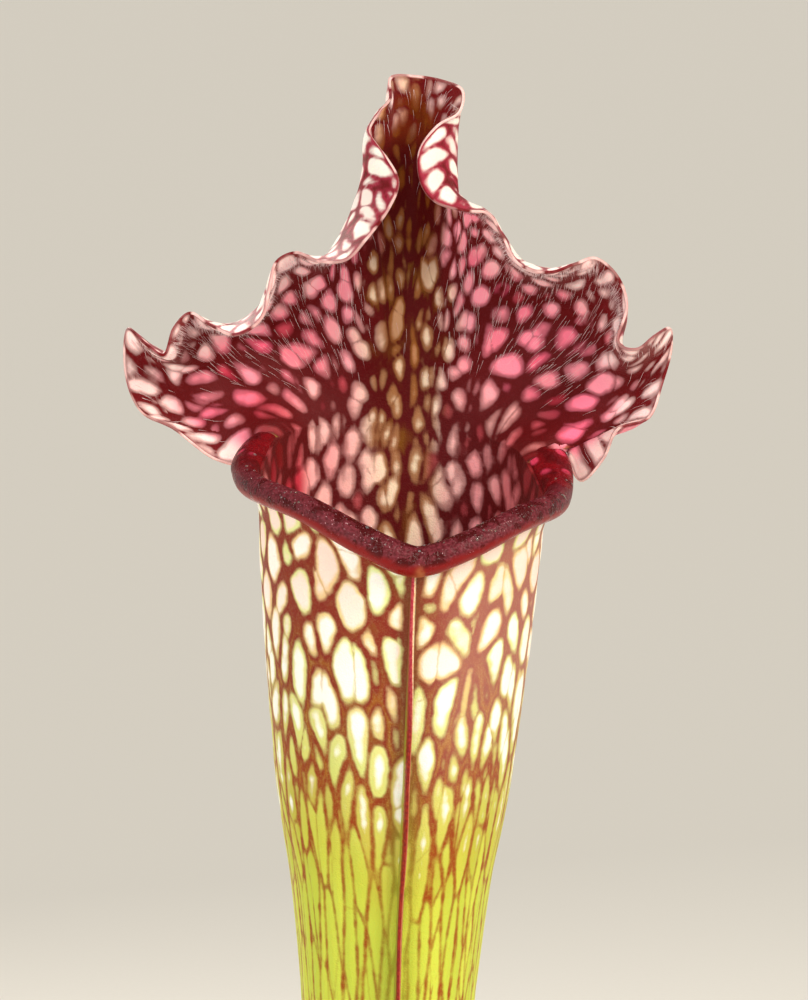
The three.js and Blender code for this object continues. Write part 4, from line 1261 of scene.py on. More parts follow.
# How far the lip's two edges lie outside the rim, and half its height: [angle from the front, mm]
LIP_INNER = [[0, -0.45], [55, -0.05], [88, -0.1], [104, -0.5], [118, -0.6]]
LIP_OUTER = [[0, 3.85], [22, 3.65], [55, 3.45], [88, 3.55], [100, 4.2], [110, 5.2], [118, 5.9]]
LIP_HALF_HEIGHT = [[0, 2.15], [22, 1.95], [55, 1.75], [80, 1.75], [94, 1.4], [106, 1.0], [120, 0.7]]
LIP_DROPS = (3.6, 0.1)  # how much lower its outer edge lies at the left and the right end
LIP_ARCHES = (1.2, 0.5)  # how much it arches up there between its edges
LIP_STEPS, LIP_SIDES = 640, 44
LIP_ROUNDING = 5  # steps over which the turn at the spout is rounded
UNROLL_ANGLE = 82  # angle from the front at which it starts to unroll
JOINT_ASIDE = 3.4  # degrees from the spout's middle to the pale joint over the wing
OFF_THE_LIP = [99, 99]  # angles of the two end points, which have no joint

lip_angle = np.linspace(-LIP_REACH, LIP_REACH, LIP_STEPS + 1)
lip_edges = []
for table in (LIP_INNER, LIP_OUTER):
    lip_edge = tube_point(lip_angle, rim_z(lip_angle), value_through(table, np.abs(lip_angle)))
    lip_edges.append(blurred(lip_edge.T, LIP_ROUNDING).T)
unrolled = rise(np.abs(lip_angle), UNROLL_ANGLE, LIP_REACH - UNROLL_ANGLE)
lip_edges[1][:, 2] -= unrolled * np.where(lip_angle < 0, *LIP_DROPS)
lip_path = (lip_edges[0] + lip_edges[1]) / 2
lip_side = (lip_edges[1] - lip_edges[0]) / 2
lip_top = unit(np.cross(lip_side, np.gradient(lip_path, axis=0)))
lip_top = lip_top * np.sign(lip_top[:, 2:]) * value_through(LIP_HALF_HEIGHT, np.abs(lip_angle))[:, None]
turn = full_turn(LIP_SIDES)[:, None]
lip_rings = lip_path[:, None] + np.cos(turn) * lip_side[:, None] + np.sin(turn) * lip_top[:, None]
lip_rings[..., 2] += (unrolled * np.where(lip_angle < 0, *LIP_ARCHES))[:, None] * np.sin(turn[:, 0]) ** 2
lip_height = np.broadcast_to(np.sin(turn[:, 0]), lip_rings.shape[:2])
lip_spout = np.broadcast_to(lip_angle[:, None] - WING_ANGLE / 2, lip_height.shape)
lip = new_piece("pitcher_lip", capped(lip_rings), values={
    "height": np.append(lip_height.ravel(), [0, 0]),
    "spout": np.append(lip_spout.ravel(), OFF_THE_LIP),
    "joint": np.append(lip_spout.ravel() - JOINT_ASIDE, OFF_THE_LIP),
})


def lip_material():
    """Dusty mauve above with dark wet patches, clear red below, a small pale joint at the spout, and
    painted glints on top.
    """
    make = Recipe("lip")
    pits, patches, glint_noise = make.noise(2200, 2), make.noise(440, 2), make.noise(5200, 0)
    above = make.step(make.plus(make.point_value("height"), patches, 0.2), -0.55, 0.0)
    wet = make.step(make.plus(patches, pits, 0.25), 0.13, 0.2)
    top = make.tones(pits, "#560e16", "#782a34", -0.6, 0.7)
    top = make.blend(wet, top, "#4a0205")
    skin = make.blend(above, "#8a0a08", top)
    spread_out = make.maths("ABSOLUTE", make.point_value("spout"))
    corner = make.step(make.plus(spread_out, patches, 6.0), 78.0, 92.0)
    dark = make.tones(patches, "#560508", "#7c0a12", -0.5, 0.6)
    spots = make.add("ShaderNodeTexVoronoi", {"Vector": make.where, "Scale": 330.0}).outputs["Distance"]
    inside = make.step(spread_out, 97.0, 104.0, 0.0, 0.8)
    spots = make.maths("MULTIPLY", make.step(spots, 0.36, 0.2), inside)
    dark = make.blend(spots, dark, "#e8486a")
    skin = make.blend(corner, skin, dark)
    joint = make.step(make.maths("ABSOLUTE", make.plus(make.point_value("joint"), patches, 1.5)), 2.6, 0.0)
    joint = make.maths("MULTIPLY", joint, make.step(make.point_value("height"), 0.1, -0.8, 0.0, 0.6))
    skin = make.blend(joint, skin, "#c47a48")
    # Painted highlight: pale glints on the lip's top, kept out of its dark corners
    shine = make.maths("MULTIPLY", make.step(glint_noise, 0.5, 0.7, 0.0, 0.8), above)
    skin = make.blend(make.maths("MULTIPLY", shine, make.step(corner, 1.0, 0.0)), skin, "#d9a9ae")
    return make.finish(
        height=make.maths("MULTIPLY", pits, above), relief=0.07, base_color=skin,
        roughness=make.step(wet, 0.0, 1.0, 0.38, 0.2), specular_ior_level=0.22, subsurface_weight=0.1,
        **FLESH,
    )


fit_in(lip, "pitcher", lip_material())

# %% [markdown]
# ## The wing
#
# A thin keel runs down the front of the trumpet, from under the lip almost to the ground. A plane could
# be bent along the tube, but it would have no thickness. Here it is a blade, thicker at its root, with a
# waving edge. Each level of it is one ring: up the left side and down the right side.

# %% Wing
WING_THICKNESS = 1.0
WING_EDGE_THICKNESS = 0.5
WING_SINK = 0.7  # how far its root goes into the tube's wall
WING_WIDTH = [[12, 0.6], [30, 2.4], [70, 3.9], [115, 4.0], [160, 2.6], [195, 1.8], [211, 1.2]]
WING_WAVES = [[0.12, 0.16, 0.0], [0.31, 0.07, 1.3]]  # radians per mm of height, mm sideways, shift
WING_CREST = 0.15  # how far the very edge stands out past the flanks
WING_ROWS, WING_FLANK = 420, 14

wing_z = STALK_Z + np.linspace(WING_WIDTH[0][0], WING_WIDTH[-1][0], WING_ROWS)[:, None]
climb = np.linspace(0, 1, WING_FLANK)
share = np.concatenate([climb, [1.0], climb[::-1]])[None, :]
flank = np.concatenate([-np.ones(WING_FLANK), [0.0], np.ones(WING_FLANK)])[None, :]
half = mix(WING_THICKNESS, WING_EDGE_THICKNESS, share) / 2
wave = sum(size * np.sin(rate * wing_z + shift) for rate, size, shift in WING_WAVES) * share**2
aside = flank * half + wave
out = mix(-WING_SINK, value_through(WING_WIDTH, wing_z - STALK_Z), share) + WING_CREST * (flank == 0)
turn = np.radians(WING_ANGLE)
wing_rings = tube_point(WING_ANGLE, wing_z, out) + aside[..., None] * xyz(np.cos(turn), np.sin(turn), 0)
wing = new_piece("pitcher_wing", capped(wing_rings), values={
    key: np.append(np.broadcast_to(value, aside.shape).ravel(), [0, 0])
    for key, value in (("side", flank), ("share", share))
})


def wing_material():
    """A crimson left side and edge, a right side painted cream high up as a highlight, and all dark red
    lower down.
    """
    make = Recipe("wing")
    flecks, broad = make.noise(2400, 2), make.noise(300, 1)
    height = make.add("ShaderNodeSeparateXYZ", {0: make.where}).outputs[2]
    lower, foot = make.step(height, 0.292, 0.276), make.step(height, 0.22, 0.14)
    side = make.plus(make.point_value("side"), broad, 0.2)
    red = make.tones(flecks, "#a81f34", "#c04a4e")
    red = make.blend(lower, red, make.tones(flecks, "#7e0e05", "#9a2408"))
    # Painted highlight: the right side, which faces the key light, is cream high up and brownish lower down
    right_highlight = make.tones(flecks, "#e8b98c", "#f4ddb4")
    right_highlight = make.blend(make.maths("MULTIPLY", lower, 0.85), right_highlight, "#b04a26")
    skin = make.blend(make.step(side, 0.25, 0.7), red, right_highlight)
    root = make.step(make.plus(make.point_value("share"), flecks, 0.15), 0.85, 0.5, 0.0, 0.8)
    skin = make.blend(root, skin, make.blend(lower, "#8a6a34", "#a9ad3c"))
    skin = make.blend(make.maths("MULTIPLY", foot, 0.7), skin, "#8f8a3a")
    return make.finish(
        height=flecks, relief=0.03, base_color=skin, roughness=0.5, specular_ior_level=0.3,
        subsurface_weight=0.2, subsurface_radius=(1.0, 0.5, 0.35), subsurface_scale=MM,
    )


fit_in(wing, "pitcher", wing_material())

# %% [markdown]
# ## Uneven heights
#
# Bark, peat and grains are rough in the mesh as well. A displace modifier could do that, but the same
# roughness is needed for points that aren't in a mesh yet, such as the places of crumbs. So smooth random
# heights are worked out from whole numbers.

# %% Uneven heights
LATTICE_MIX = np.array([73856093, 19349663, 83492791])
SCRAMBLE = (1274126177, 668265263)
SEED_MIX = (7919, 104729)
BITS, HALF_RANGE = 0x7FFFFFFF, 0x3FFFFFFF


def lumps(points, size, seed=0):
    """Smooth random values from -1 to 1 at points in mm, with bumps about `size` across.

    Each corner of a grid of cubes gets a value from its three whole numbers, and a point takes a smooth
    average of the eight corners round it.
    """
    place = np.asarray(points) / size
    cell = np.floor(place).astype(np.int64)
    part = smooth(place - cell)
    total = np.zeros(place.shape[:-1])
    for corner in np.ndindex(2, 2, 2):
        at = (cell + np.array(corner)) * LATTICE_MIX
        key = at[..., 0] ^ at[..., 1] ^ at[..., 2] ^ (seed * SEED_MIX[0] + SEED_MIX[1])
        key = (key ^ (key >> 13)) * SCRAMBLE[0] & BITS
        key = (key ^ (key >> 15)) * SCRAMBLE[1] & BITS
        weight = np.prod(np.where(corner, part, 1 - part), axis=-1)
        total += weight * (key / HALF_RANGE - 1)
    return total


# %% [markdown]
# ## The foot of the plant
#
# The leaf grows from the tip of a short creeping stem. Papery pointed bracts cup its stalk, and the dry
# bases of two older leaves stand behind it. Roots hang in the peat, where nobody sees them, but they are
# part of the plant. These are the solid model's shapes again, with finer rings, thinner edges and torn
# rims.

# %% Sizes of the rhizome
CROWN_Z, CROWN_RADIUS, CROWN_FLATTENING, CROWN_DEPTH = 91.0, 8.4, 0.8, 4.6
STEM_PATH = np.array([[-3, 30, 80], [-2, 22, 83], [0, 11, 85], [0, 2, 85.5], [0, -6, 85.5]], float)
STEM_OLD_RADIUS, STEM_RADIUS = 4.6, 7.6
STEM_RINGS, STEM_RING_HEIGHT = 4, 0.5
ROOT_COUNT, ROOT_RADIUS, ROOT_TIP_RADIUS = 5, 1.1, 0.6
ROOT_TOP_Z, ROOT_SPACING = 83.0, 3.2
ROOT_REACH, ROOT_DEPTH, ROOT_BEND = (12, 20), (34, 50), (0.7, 0.4)
BRACT_COUNT, BRACT_HEIGHT = 6, (9, 13)
BRACT_RING_RADIUS, BRACT_RING_STEP = 6.0, 1.3
BRACT_HALF_ANGLE, BRACT_TIP_ANGLE, BRACT_POINT = 39.0, 1.5, 2.2
BRACT_BELLY, BRACT_CLOSING, BRACT_THICKNESS, BRACT_SINK = 1.6, 2.2, 1.0, 2.5
OLD_LEAF_BASES = [[-2.2, 13, 6], [2.6, 19.5, 4]]
OLD_BASE_RADIUS, OLD_BASE_FOOT_Z, OLD_BASE_LEAN = 2.9, 84.0, 0.1
OLD_BASE_HOLLOW = 3.0  # depth of the dry hollow in an old base
BARK_BUMPS, BARK_RELIEF = 1.6, 0.25
print("roots:", ROOT_COUNT, "bracts:", BRACT_COUNT)

# %% [markdown]
# The stem and the roots are bars, swept along a path, and the bracts are bent sheets. All are joined to
# one mesh, because they grew as one piece.


# %% Rhizome
def swept(path, radius, sides, up):
    """Rings of a round bar along a path, each set across it from the side up and round."""
    along = unit(np.gradient(path, axis=0))
    side = unit(np.cross(along, up))
    top = np.cross(side, along)
    turn = full_turn(sides)[:, None]
    ring = np.cos(turn) * side[:, None, :] + np.sin(turn) * top[:, None, :]
    return path[:, None, :] + ring * np.asarray(radius)[:, None, None]


def spread(ends, i, count, stride):
    """A size of repeat i between two ends, taken in an order that mixes small and large."""
    return mix(*ends, (i * stride % count) / (count - 1))


def path_through(stops, count):
    """`count` points along a smooth path through the stops."""
    stops = np.asarray(stops, float)
    far = np.concatenate([[0], np.cumsum(np.linalg.norm(np.diff(stops, axis=0), axis=1))])
    return through(np.column_stack([far, stops]), np.linspace(0, far[-1], count))


def stem_and_crown():
    """The creeping stem, ringed by old leaf scars, and the flattened ball of the crown."""
    share = np.linspace(0, 1, 90)
    scars = STEM_RING_HEIGHT * np.sin(share * STEM_RINGS * 2 * np.pi)
    radius = mix(STEM_OLD_RADIUS, STEM_RADIUS, smooth(share)) + scars
    stem = swept(path_through(STEM_PATH, 90), radius, 40, [0, 0, 1])
    up = np.linspace(-np.pi / 2, np.pi / 2, 34)[1:-1, None]
    turn = full_turn(64)[None, :]
    ball = xyz(np.cos(up) * np.cos(turn), np.cos(up) * np.sin(turn), np.sin(up) * CROWN_FLATTENING)
    shapes = []
    for rings, place in ((stem, 0), (ball * CROWN_RADIUS, np.array([0, 0, CROWN_Z - CROWN_DEPTH]))):
        out = unit(rings - rings.mean(axis=1, keepdims=True))
        shapes.append(capped(rings + BARK_RELIEF * lumps(rings, BARK_BUMPS)[..., None] * out + place))
    return shapes


def root(i):
    """A thin bar that leaves the stem sideways and bends down into the peat."""
    turn = (i + 0.3) / ROOT_COUNT * 2 * np.pi
    reach, depth = spread(ROOT_REACH, i, ROOT_COUNT, 2), spread(ROOT_DEPTH, i, ROOT_COUNT, 3)
    out = np.array([0, ROOT_BEND[0], 1]) * reach
    down = np.array([0, ROOT_BEND[1], 1]) * depth
    start = ROOT_SPACING * (i + 1)
    stops = xyz(out * np.cos(turn), start + out * np.sin(turn), ROOT_TOP_Z - down)
    radius = np.linspace(ROOT_RADIUS, ROOT_TIP_RADIUS, 24)
    return capped(swept(path_through(stops, 24), radius, 10, [0.3, 0.2, 1]))


def bract(i):
    """A pointed blade on an arc round the stalk, thin at its sides, with fine ribs and a waving edge."""
    turn = (i + 0.5) / BRACT_COUNT * 2 * np.pi
    height = spread(BRACT_HEIGHT, i, BRACT_COUNT, 5)
    radius = BRACT_RING_RADIUS + i % 2 * BRACT_RING_STEP
    t, side = np.linspace(0, 1, 40)[:, None], np.linspace(-1, 1, 29)[None, :]
    half = np.radians(mix(BRACT_HALF_ANGLE, BRACT_TIP_ANGLE, t**BRACT_POINT))
    angle = turn + half * side
    middle = radius + BRACT_BELLY * t - BRACT_CLOSING * t * t + BRACT_THICKNESS / 2
    middle = middle + 0.1 * np.cos(side * 22) * (1 - t) + 0.15 * side**4 * np.sin(9 * t + i)
    thick = BRACT_THICKNESS / 2 * (1 - 0.6 * side**4) * (1 - 0.5 * t)
    z = CROWN_Z - BRACT_SINK + height * t
    faces = (middle + thick, middle - thick)
    return sheet(*[xyz(radius * np.cos(angle), radius * np.sin(angle), z) for radius in faces])


def old_leaf_base(x, y, height):
    """The stump of a cut leaf: a round stalk with a torn rim and a dry hollow."""
    length = CROWN_Z + height - OLD_BASE_FOOT_Z
    turn = full_turn(40)[None, :]
    up = np.concatenate([np.linspace(0, 1, 22), np.linspace(1, 1 - OLD_BASE_HOLLOW / length, 8)])[:, None]
    hollow = np.linspace(OLD_BASE_RADIUS - 0.5, OLD_BASE_RADIUS - 1.2, 8)
    out = np.concatenate([np.full(22, OLD_BASE_RADIUS), hollow])
    out = out[:, None] * (1 + 0.05 * np.cos(7 * turn) + 0.05 * np.sin(4 * turn + x))
    torn = 0.6 * (np.sin(3 * turn + y) + 0.5 * np.sin(8 * turn)) * rise(up, 0.7, 0.3)
    lean = OLD_BASE_LEAN * length * up
    z = OLD_BASE_FOOT_Z + length * up + torn - 0.9 * (up > 0.7)
    return capped(xyz(x + np.sign(x) * lean + out * np.cos(turn), y + lean + out * np.sin(turn), z))


shapes = stem_and_crown() + [root(i) for i in range(ROOT_COUNT)] + [bract(i) for i in range(BRACT_COUNT)]
shapes += [old_leaf_base(*row) for row in OLD_LEAF_BASES]
rhizome = new_piece("rhizome_skin", together(shapes))


def rhizome_material():
    """Reddish brown with darker scars and pale dry fibres that run upwards."""
    make = Recipe("rhizome")
    fibres, broad = make.noise(900, 3, (1, 1, 0.12)), make.noise(220, 3)
    bark = make.tones(fibres, "#3d2118", "#7d4a34")
    dry = make.step(make.plus(broad, fibres, 0.4), 0.0, 0.5, 0.0, 0.75)
    bark = make.blend(dry, bark, "#a9825c")
    return make.finish(height=fibres, relief=0.25, base_color=bark, roughness=0.75, specular_ior_level=0.3)


fit_in(rhizome, "rhizome", rhizome_material())

# %% [markdown]
# ## The pot
#
# A plain round nursery pot: one moulded shell with a stiff rim band, a recessed foot and six drain holes.
# It is turned: a profile goes once round the upright axis. Every corner of the profile is rounded, as in
# a mould. The holes are then cut through the floor.

# %% Pot
POT_HEIGHT, POT_TOP_RADIUS, POT_FOOT_RADIUS, POT_WALL = 100.0, 56.5, 42.0, 1.8
RIM_BAND_HEIGHT, RIM_BAND_RADIUS, RIM_BAND_DRAFT = 13.0, 60.0, 1.0
FOOT_RECESS_RADIUS, FOOT_RECESS, POT_FLOOR, POT_EDGE = 37.0, 3.0, 2.2, 1.0
DRAIN_RADIUS, DRAIN_RING_RADIUS, DRAIN_COUNT = 4.0, 25.0, 6
POT_SIDES = 192
MIDDLE_GAP = 0.5  # the profile ends this far from the axis, and a fan of faces closes it
CORNER_ROUND, CORNER_STEPS = 0.8, 5


def wall_radius(z):
    """Outside radius of the pot's wall at height z."""
    return mix(POT_FOOT_RADIUS, POT_TOP_RADIUS, z / POT_HEIGHT)


def rounded(corners):
    """An open profile with each inner corner replaced by a short curve that starts and ends beside it."""
    corners = np.asarray(corners, float)
    before, at, after = corners[:-2], corners[1:-1], corners[2:]
    share = np.linspace(0, 1, CORNER_STEPS)[None, :, None]
    starts = []
    for there in (before, after):
        far = np.minimum(CORNER_ROUND, 0.45 * np.linalg.norm(there - at, axis=1))[:, None]
        starts.append(at + unit(there - at) * far)
    a, b, c = starts[0][:, None], at[:, None], starts[1][:, None]
    curve = a * (1 - share) ** 2 + 2 * b * share * (1 - share) + c * share**2
    return np.vstack([corners[:1], curve.reshape(-1, 2), corners[-1:]])


def turned(profile, sides):
    """Rings of points from a profile of [radius, height] rows."""
    turn = full_turn(sides)
    radius, z = profile[:, :1], profile[:, 1:]
    return xyz(radius * np.cos(turn), radius * np.sin(turn), z)


band_foot, floor_top = POT_HEIGHT - RIM_BAND_HEIGHT, FOOT_RECESS + POT_FLOOR
pot_profile = rounded([
    [MIDDLE_GAP, FOOT_RECESS], [FOOT_RECESS_RADIUS - POT_EDGE, FOOT_RECESS], [FOOT_RECESS_RADIUS, 0],
    [POT_FOOT_RADIUS - POT_EDGE, 0], [POT_FOOT_RADIUS, POT_EDGE], [wall_radius(band_foot), band_foot],
    [RIM_BAND_RADIUS - RIM_BAND_DRAFT, band_foot], [RIM_BAND_RADIUS, POT_HEIGHT - POT_EDGE],
    [RIM_BAND_RADIUS - POT_EDGE, POT_HEIGHT], [wall_radius(POT_HEIGHT) - POT_WALL + POT_EDGE, POT_HEIGHT],
    [wall_radius(POT_HEIGHT) - POT_WALL, POT_HEIGHT - POT_EDGE],
    [wall_radius(floor_top) - POT_WALL, floor_top],
    [MIDDLE_GAP, floor_top],
])
pot = new_piece("pot_shell", capped(turned(pot_profile, POT_SIDES)))
drill_ends = (FOOT_RECESS - POT_FLOOR, floor_top + POT_FLOOR)
hole = turned(np.array([[DRAIN_RADIUS, z] for z in drill_ends]), 48)
ring = np.radians(np.arange(DRAIN_COUNT) * 360 / DRAIN_COUNT)
centres = DRAIN_RING_RADIUS * xyz(np.cos(ring), np.sin(ring), 0)
drills = new_piece("drills", together([capped(hole + centre) for centre in centres]))
cut = pot.modifiers.new("drain holes", "BOOLEAN")
cut.operation, cut.object, cut.solver = "DIFFERENCE", drills, "EXACT"
drilled = bpy.data.meshes.new_from_object(pot.evaluated_get(bpy.context.evaluated_depsgraph_get()))
pot.modifiers.clear()
pot.data = drilled
drilled.set_sharp_from_angle(angle=np.radians(40))
bpy.data.objects.remove(drills)
print("pot with drain holes:", len(drilled.polygons), "faces")


def pot_material():
    """Dark moulded plastic: fine grain, faint upright scuffs, and patches of a film of lime and dust."""
    make = Recipe("pot")
    grain, scuffs, film = make.noise(1800, 2), make.noise(160, 4, (1, 1, 0.25)), make.noise(45, 4)
    plastic = make.tones(scuffs, "#262524", "#343230", -0.5, 0.5)
    plastic = make.blend(make.step(make.plus(film, scuffs, 0.2), 0.1, 0.9, 0.0, 0.22), plastic, "#6f6a62")
    return make.finish(
        height=grain, relief=0.03, base_color=plastic, roughness=make.step(scuffs, -0.5, 0.5, 0.42, 0.6),
        specular_ior_level=0.45,
    )


fit_in(pot, "pot", pot_material())

# %% [markdown]
# ## The peat
#
# The mix fills the pot to a finger's width under its rim. A flat disc with a bumpy material would look
# like a lid. So its top is uneven in the large, as in the solid model, and crumbly in the small.

# %% Peat
SOIL_LEVEL, SOIL_MOUND, SOIL_RIPPLE, SEAT_GAP = 88.0, 2.5, 0.9, 0.3
SOIL_WAVES = [[0.21, 0.11, 0.6, 0.6], [-0.16, 0.19, 2.1, 0.5], [0.09, -0.31, 0.0, 0.5]]
SOIL_COLUMNS, SOIL_ROWS = 360, 130
SOIL_MIDDLE_GAP = 0.4
CRUMB_DEPTH = 0.4  # how far the crumbly top is lowered, so that it lies round the solid model's


def soil_height(x, y):
    """Height of the mix: its level, a mound in the middle and three crossing waves."""
    inside = 1 - (x * x + y * y) / POT_TOP_RADIUS**2
    waves = sum(size * np.sin(x * kx + y * ky + shift) for kx, ky, shift, size in SOIL_WAVES)
    return SOIL_LEVEL + SOIL_MOUND * inside + SOIL_RIPPLE * waves


def soil_point(x, y):
    """A point of the crumbly top."""
    flat = xyz(x, y, 0 * x)
    crumbs = 0.7 * lumps(flat, 4.5, 1) + 0.5 * np.abs(lumps(flat, 2.1, 2)) + 0.3 * lumps(flat, 1.1, 3)
    return xyz(x, y, soil_height(x, y) + crumbs - CRUMB_DEPTH)


soil_edge = wall_radius(SOIL_LEVEL - 2 * SOIL_RIPPLE) - POT_WALL - SEAT_GAP
soil_foot = floor_top + SEAT_GAP
turn = full_turn(SOIL_COLUMNS)
radius = np.linspace(soil_edge, SOIL_MIDDLE_GAP, SOIL_ROWS)[:, None]
bottom = turned(np.array([[wall_radius(soil_foot) - POT_WALL - SEAT_GAP, soil_foot]]), SOIL_COLUMNS)
top = soil_point(radius * np.cos(turn), radius * np.sin(turn))
soil = new_piece("soil_peat", capped(np.concatenate([bottom, top])))


def peat_material():
    """Dark damp peat with paler crumbs and reddish fibres."""
    make = Recipe("peat")
    crumbs, fibres, damp = make.noise(700, 4), make.noise(2400, 2, (1, 0.15, 1)), make.noise(60, 3)
    peat = make.tones(crumbs, "#1d130d", "#4b3423", -0.4, 0.5)
    peat = make.blend(make.step(fibres, 0.3, 0.7, 0.0, 0.6), peat, "#7b573a")
    shade = make.tones(damp, "#b5b5b5", "#ffffff")
    peat = make.blend(1.0, peat, shade, "MULTIPLY")
    return make.finish(height=crumbs, relief=0.5, base_color=peat, roughness=0.85, specular_ior_level=0.3)


peat = peat_material()
fit_in(soil, "soil", peat)

# %% [markdown]
# ## Grains and spikes
#
# Loose crumbs are rough little balls, each squashed and turned its own way. Fibres, moss and hairs are
# thin spikes that bend once. Particles could strew them, but they wouldn't be in the mesh. So all copies
# of a ball or a spike are worked out at once and joined.

# %% Rough little balls and thin spikes
def ball(level):
    """Points and three-sided faces of a ball of radius 1."""
    mesh = bmesh.new()
    bmesh.ops.create_icosphere(mesh, subdivisions=level, radius=1)
    points = np.array([vertex.co for vertex in mesh.verts])
    faces = np.array([[vertex.index for vertex in face.verts] for face in mesh.faces])
    mesh.free()
    return points, faces


def copies(points, faces, count):
    """Points [copy, point, xyz] in one list, with one copy's faces repeated for each."""
    starts = np.arange(count) * points.shape[1]
    renumbered = [
        (corners[None] + starts[:, None, None]).reshape(-1, corners.shape[1]) for corners in faces
    ]
    return points.reshape(-1, 3), turned_out(points.reshape(-1, 3), renumbered)


def grains(centres, sizes, level, rough):
    """Rough little balls, each squashed and turned its own way."""
    points, faces = ball(level)
    count = len(centres)
    first = unit(random.normal(size=(count, 3)))
    second = unit(np.cross(first, unit(random.normal(size=(count, 3)))))
    axes = np.stack([first, second, np.cross(first, second)], axis=1)
    shaped = points[None] * random.uniform(0.6, 1.0, (count, 1, 3)) * sizes[:, None, None]
    placed = np.einsum("npa,nax->npx", shaped, axes) + centres[:, None]
    bumps = lumps(placed, 0.7 * sizes.mean(), 5)[..., None] * sizes[:, None, None]
    return copies(placed + rough * bumps * unit(placed - centres[:, None]), [faces], count)


SPIKE_FACES = [
    np.array([[0, 2, 1], [3, 4, 6], [4, 5, 6], [5, 3, 6]]),
    np.array([[0, 1, 4, 3], [1, 2, 5, 4], [2, 0, 3, 5]]),
]


def spikes(roots, tips, bends, radius):
    """Thin three-sided spikes that bend once: three points at the root, three half way and the tip."""
    along = unit(tips - roots)
    side = unit(np.cross(along, [0.31, 0.2, 0.93]))
    turn = np.radians([0, 120, 240])[:, None]
    ring = np.cos(turn) * side[:, None] + np.sin(turn) * np.cross(along, side)[:, None]
    ring = ring * radius[:, None, None]
    middle = (roots + tips) / 2 + bends
    points = np.concatenate([roots[:, None] + ring, middle[:, None] + 0.7 * ring, tips[:, None]], axis=1)
    return copies(points, SPIKE_FACES, len(roots))


# %% [markdown]
# ## Crumbs, perlite and fibres
#
# Potting mix is peat with crumbs of all sizes, a few white grains of perlite that keep it airy, and short
# plant fibres. They could be copied one by one. Here they are strewn evenly over a ring round the crown,
# and each sits on the peat's own height.

# %% Crumbs, perlite and fibres
CRUMBS, CRUMB_SIZE = 2200, (0.5, 1.6)
PERLITE, PERLITE_SIZE = 110, (0.9, 2.3)
FIBRES, FIBRE_LENGTH = 240, (4.0, 11.0)
CLEAR_RADIUS = 10.0  # round the crown, where no loose grains lie
WALL_GAP = 2.5  # mm that grains keep from the peat's edge


def on_the_mix(count, most=None):
    """Random points of the peat's top, evenly over a ring round the middle."""
    far = np.sqrt(random.uniform(CLEAR_RADIUS**2, (most or soil_edge - WALL_GAP) ** 2, count))
    turn = random.uniform(0, 2 * np.pi, count)
    return soil_point(far * np.cos(turn), far * np.sin(turn))


def sizes_between(ends, count):
    """Random sizes, with more small ones than large ones."""
    return mix(*ends, random.uniform(size=count) ** 2)


size = sizes_between(CRUMB_SIZE, CRUMBS)
centre = on_the_mix(CRUMBS) + size[:, None] * np.array([0, 0, 0.3])
crumbs = new_piece("peat_crumbs", grains(centre, size, 1, 0.3))
fit_in(crumbs, None, peat)

size = sizes_between(PERLITE_SIZE, PERLITE)
centre = on_the_mix(PERLITE) + size[:, None] * np.array([0, 0, 0.35])
perlite = new_piece("perlite", grains(centre, size, 2, 0.25))

length = sizes_between(FIBRE_LENGTH, FIBRES)[:, None]
heading = random.uniform(0, 2 * np.pi, FIBRES)
lie = xyz(np.cos(heading), np.sin(heading), random.uniform(-0.05, 0.12, FIBRES))
start = on_the_mix(FIBRES, most=soil_edge - 12) + np.array([0, 0, 0.5])
bend = random.uniform(-0.12, 0.12, (FIBRES, 3)) * length
thick = random.uniform(0.1, 0.22, FIBRES)
fibres = new_piece("peat_fibres", spikes(start, start + lie * length, bend, thick))


def perlite_material():
    """White foamed glass, full of pits, a little stained by the peat."""
    make = Recipe("perlite")
    pits, stain = make.noise(1500, 3), make.noise(260, 2)
    white = make.tones(pits, "#b9b3a6", "#efece4", -0.4, 0.3)
    white = make.blend(make.step(stain, 0.0, 0.5, 0.0, 0.5), white, "#9d8a70")
    return make.finish(height=pits, relief=0.25, base_color=white, roughness=0.8)


def fibre_material():
    """Pale reddish brown plant fibres."""
    make = Recipe("peat fibres")
    tone = make.tones(make.noise(120, 2), "#5b3a25", "#a17a52")
    return make.finish(height=make.noise(2500, 2), relief=0.05, base_color=tone, roughness=0.8)


fit_in(perlite, None, perlite_material())
fit_in(fibres, None, fibre_material())

# %% [markdown]
# ## Moss
#
# Moss grows where the mix stays damp, by the pot's wall. A bumpy green cushion would do from afar. Up
# close one sees shoots, so each shoot is a spike with seven shorter ones round it as leaves.

# %% Moss
# Patches of moss by the pot's wall: [turn in degrees, distance from the middle, radius, number of shoots]
MOSS_PATCHES = [
    [205, 43, 8, 300], [232, 46, 5, 120], [318, 44, 7, 260], [25, 45, 6, 170], [118, 44, 8, 260],
]
MOSS_HEIGHT = (1.6, 3.4)
MOSS_LEAVES = 7
MOSS_THICKNESS = 0.14
MOSS_LEAF_RISE = 0.7  # how steeply a leaf stands up

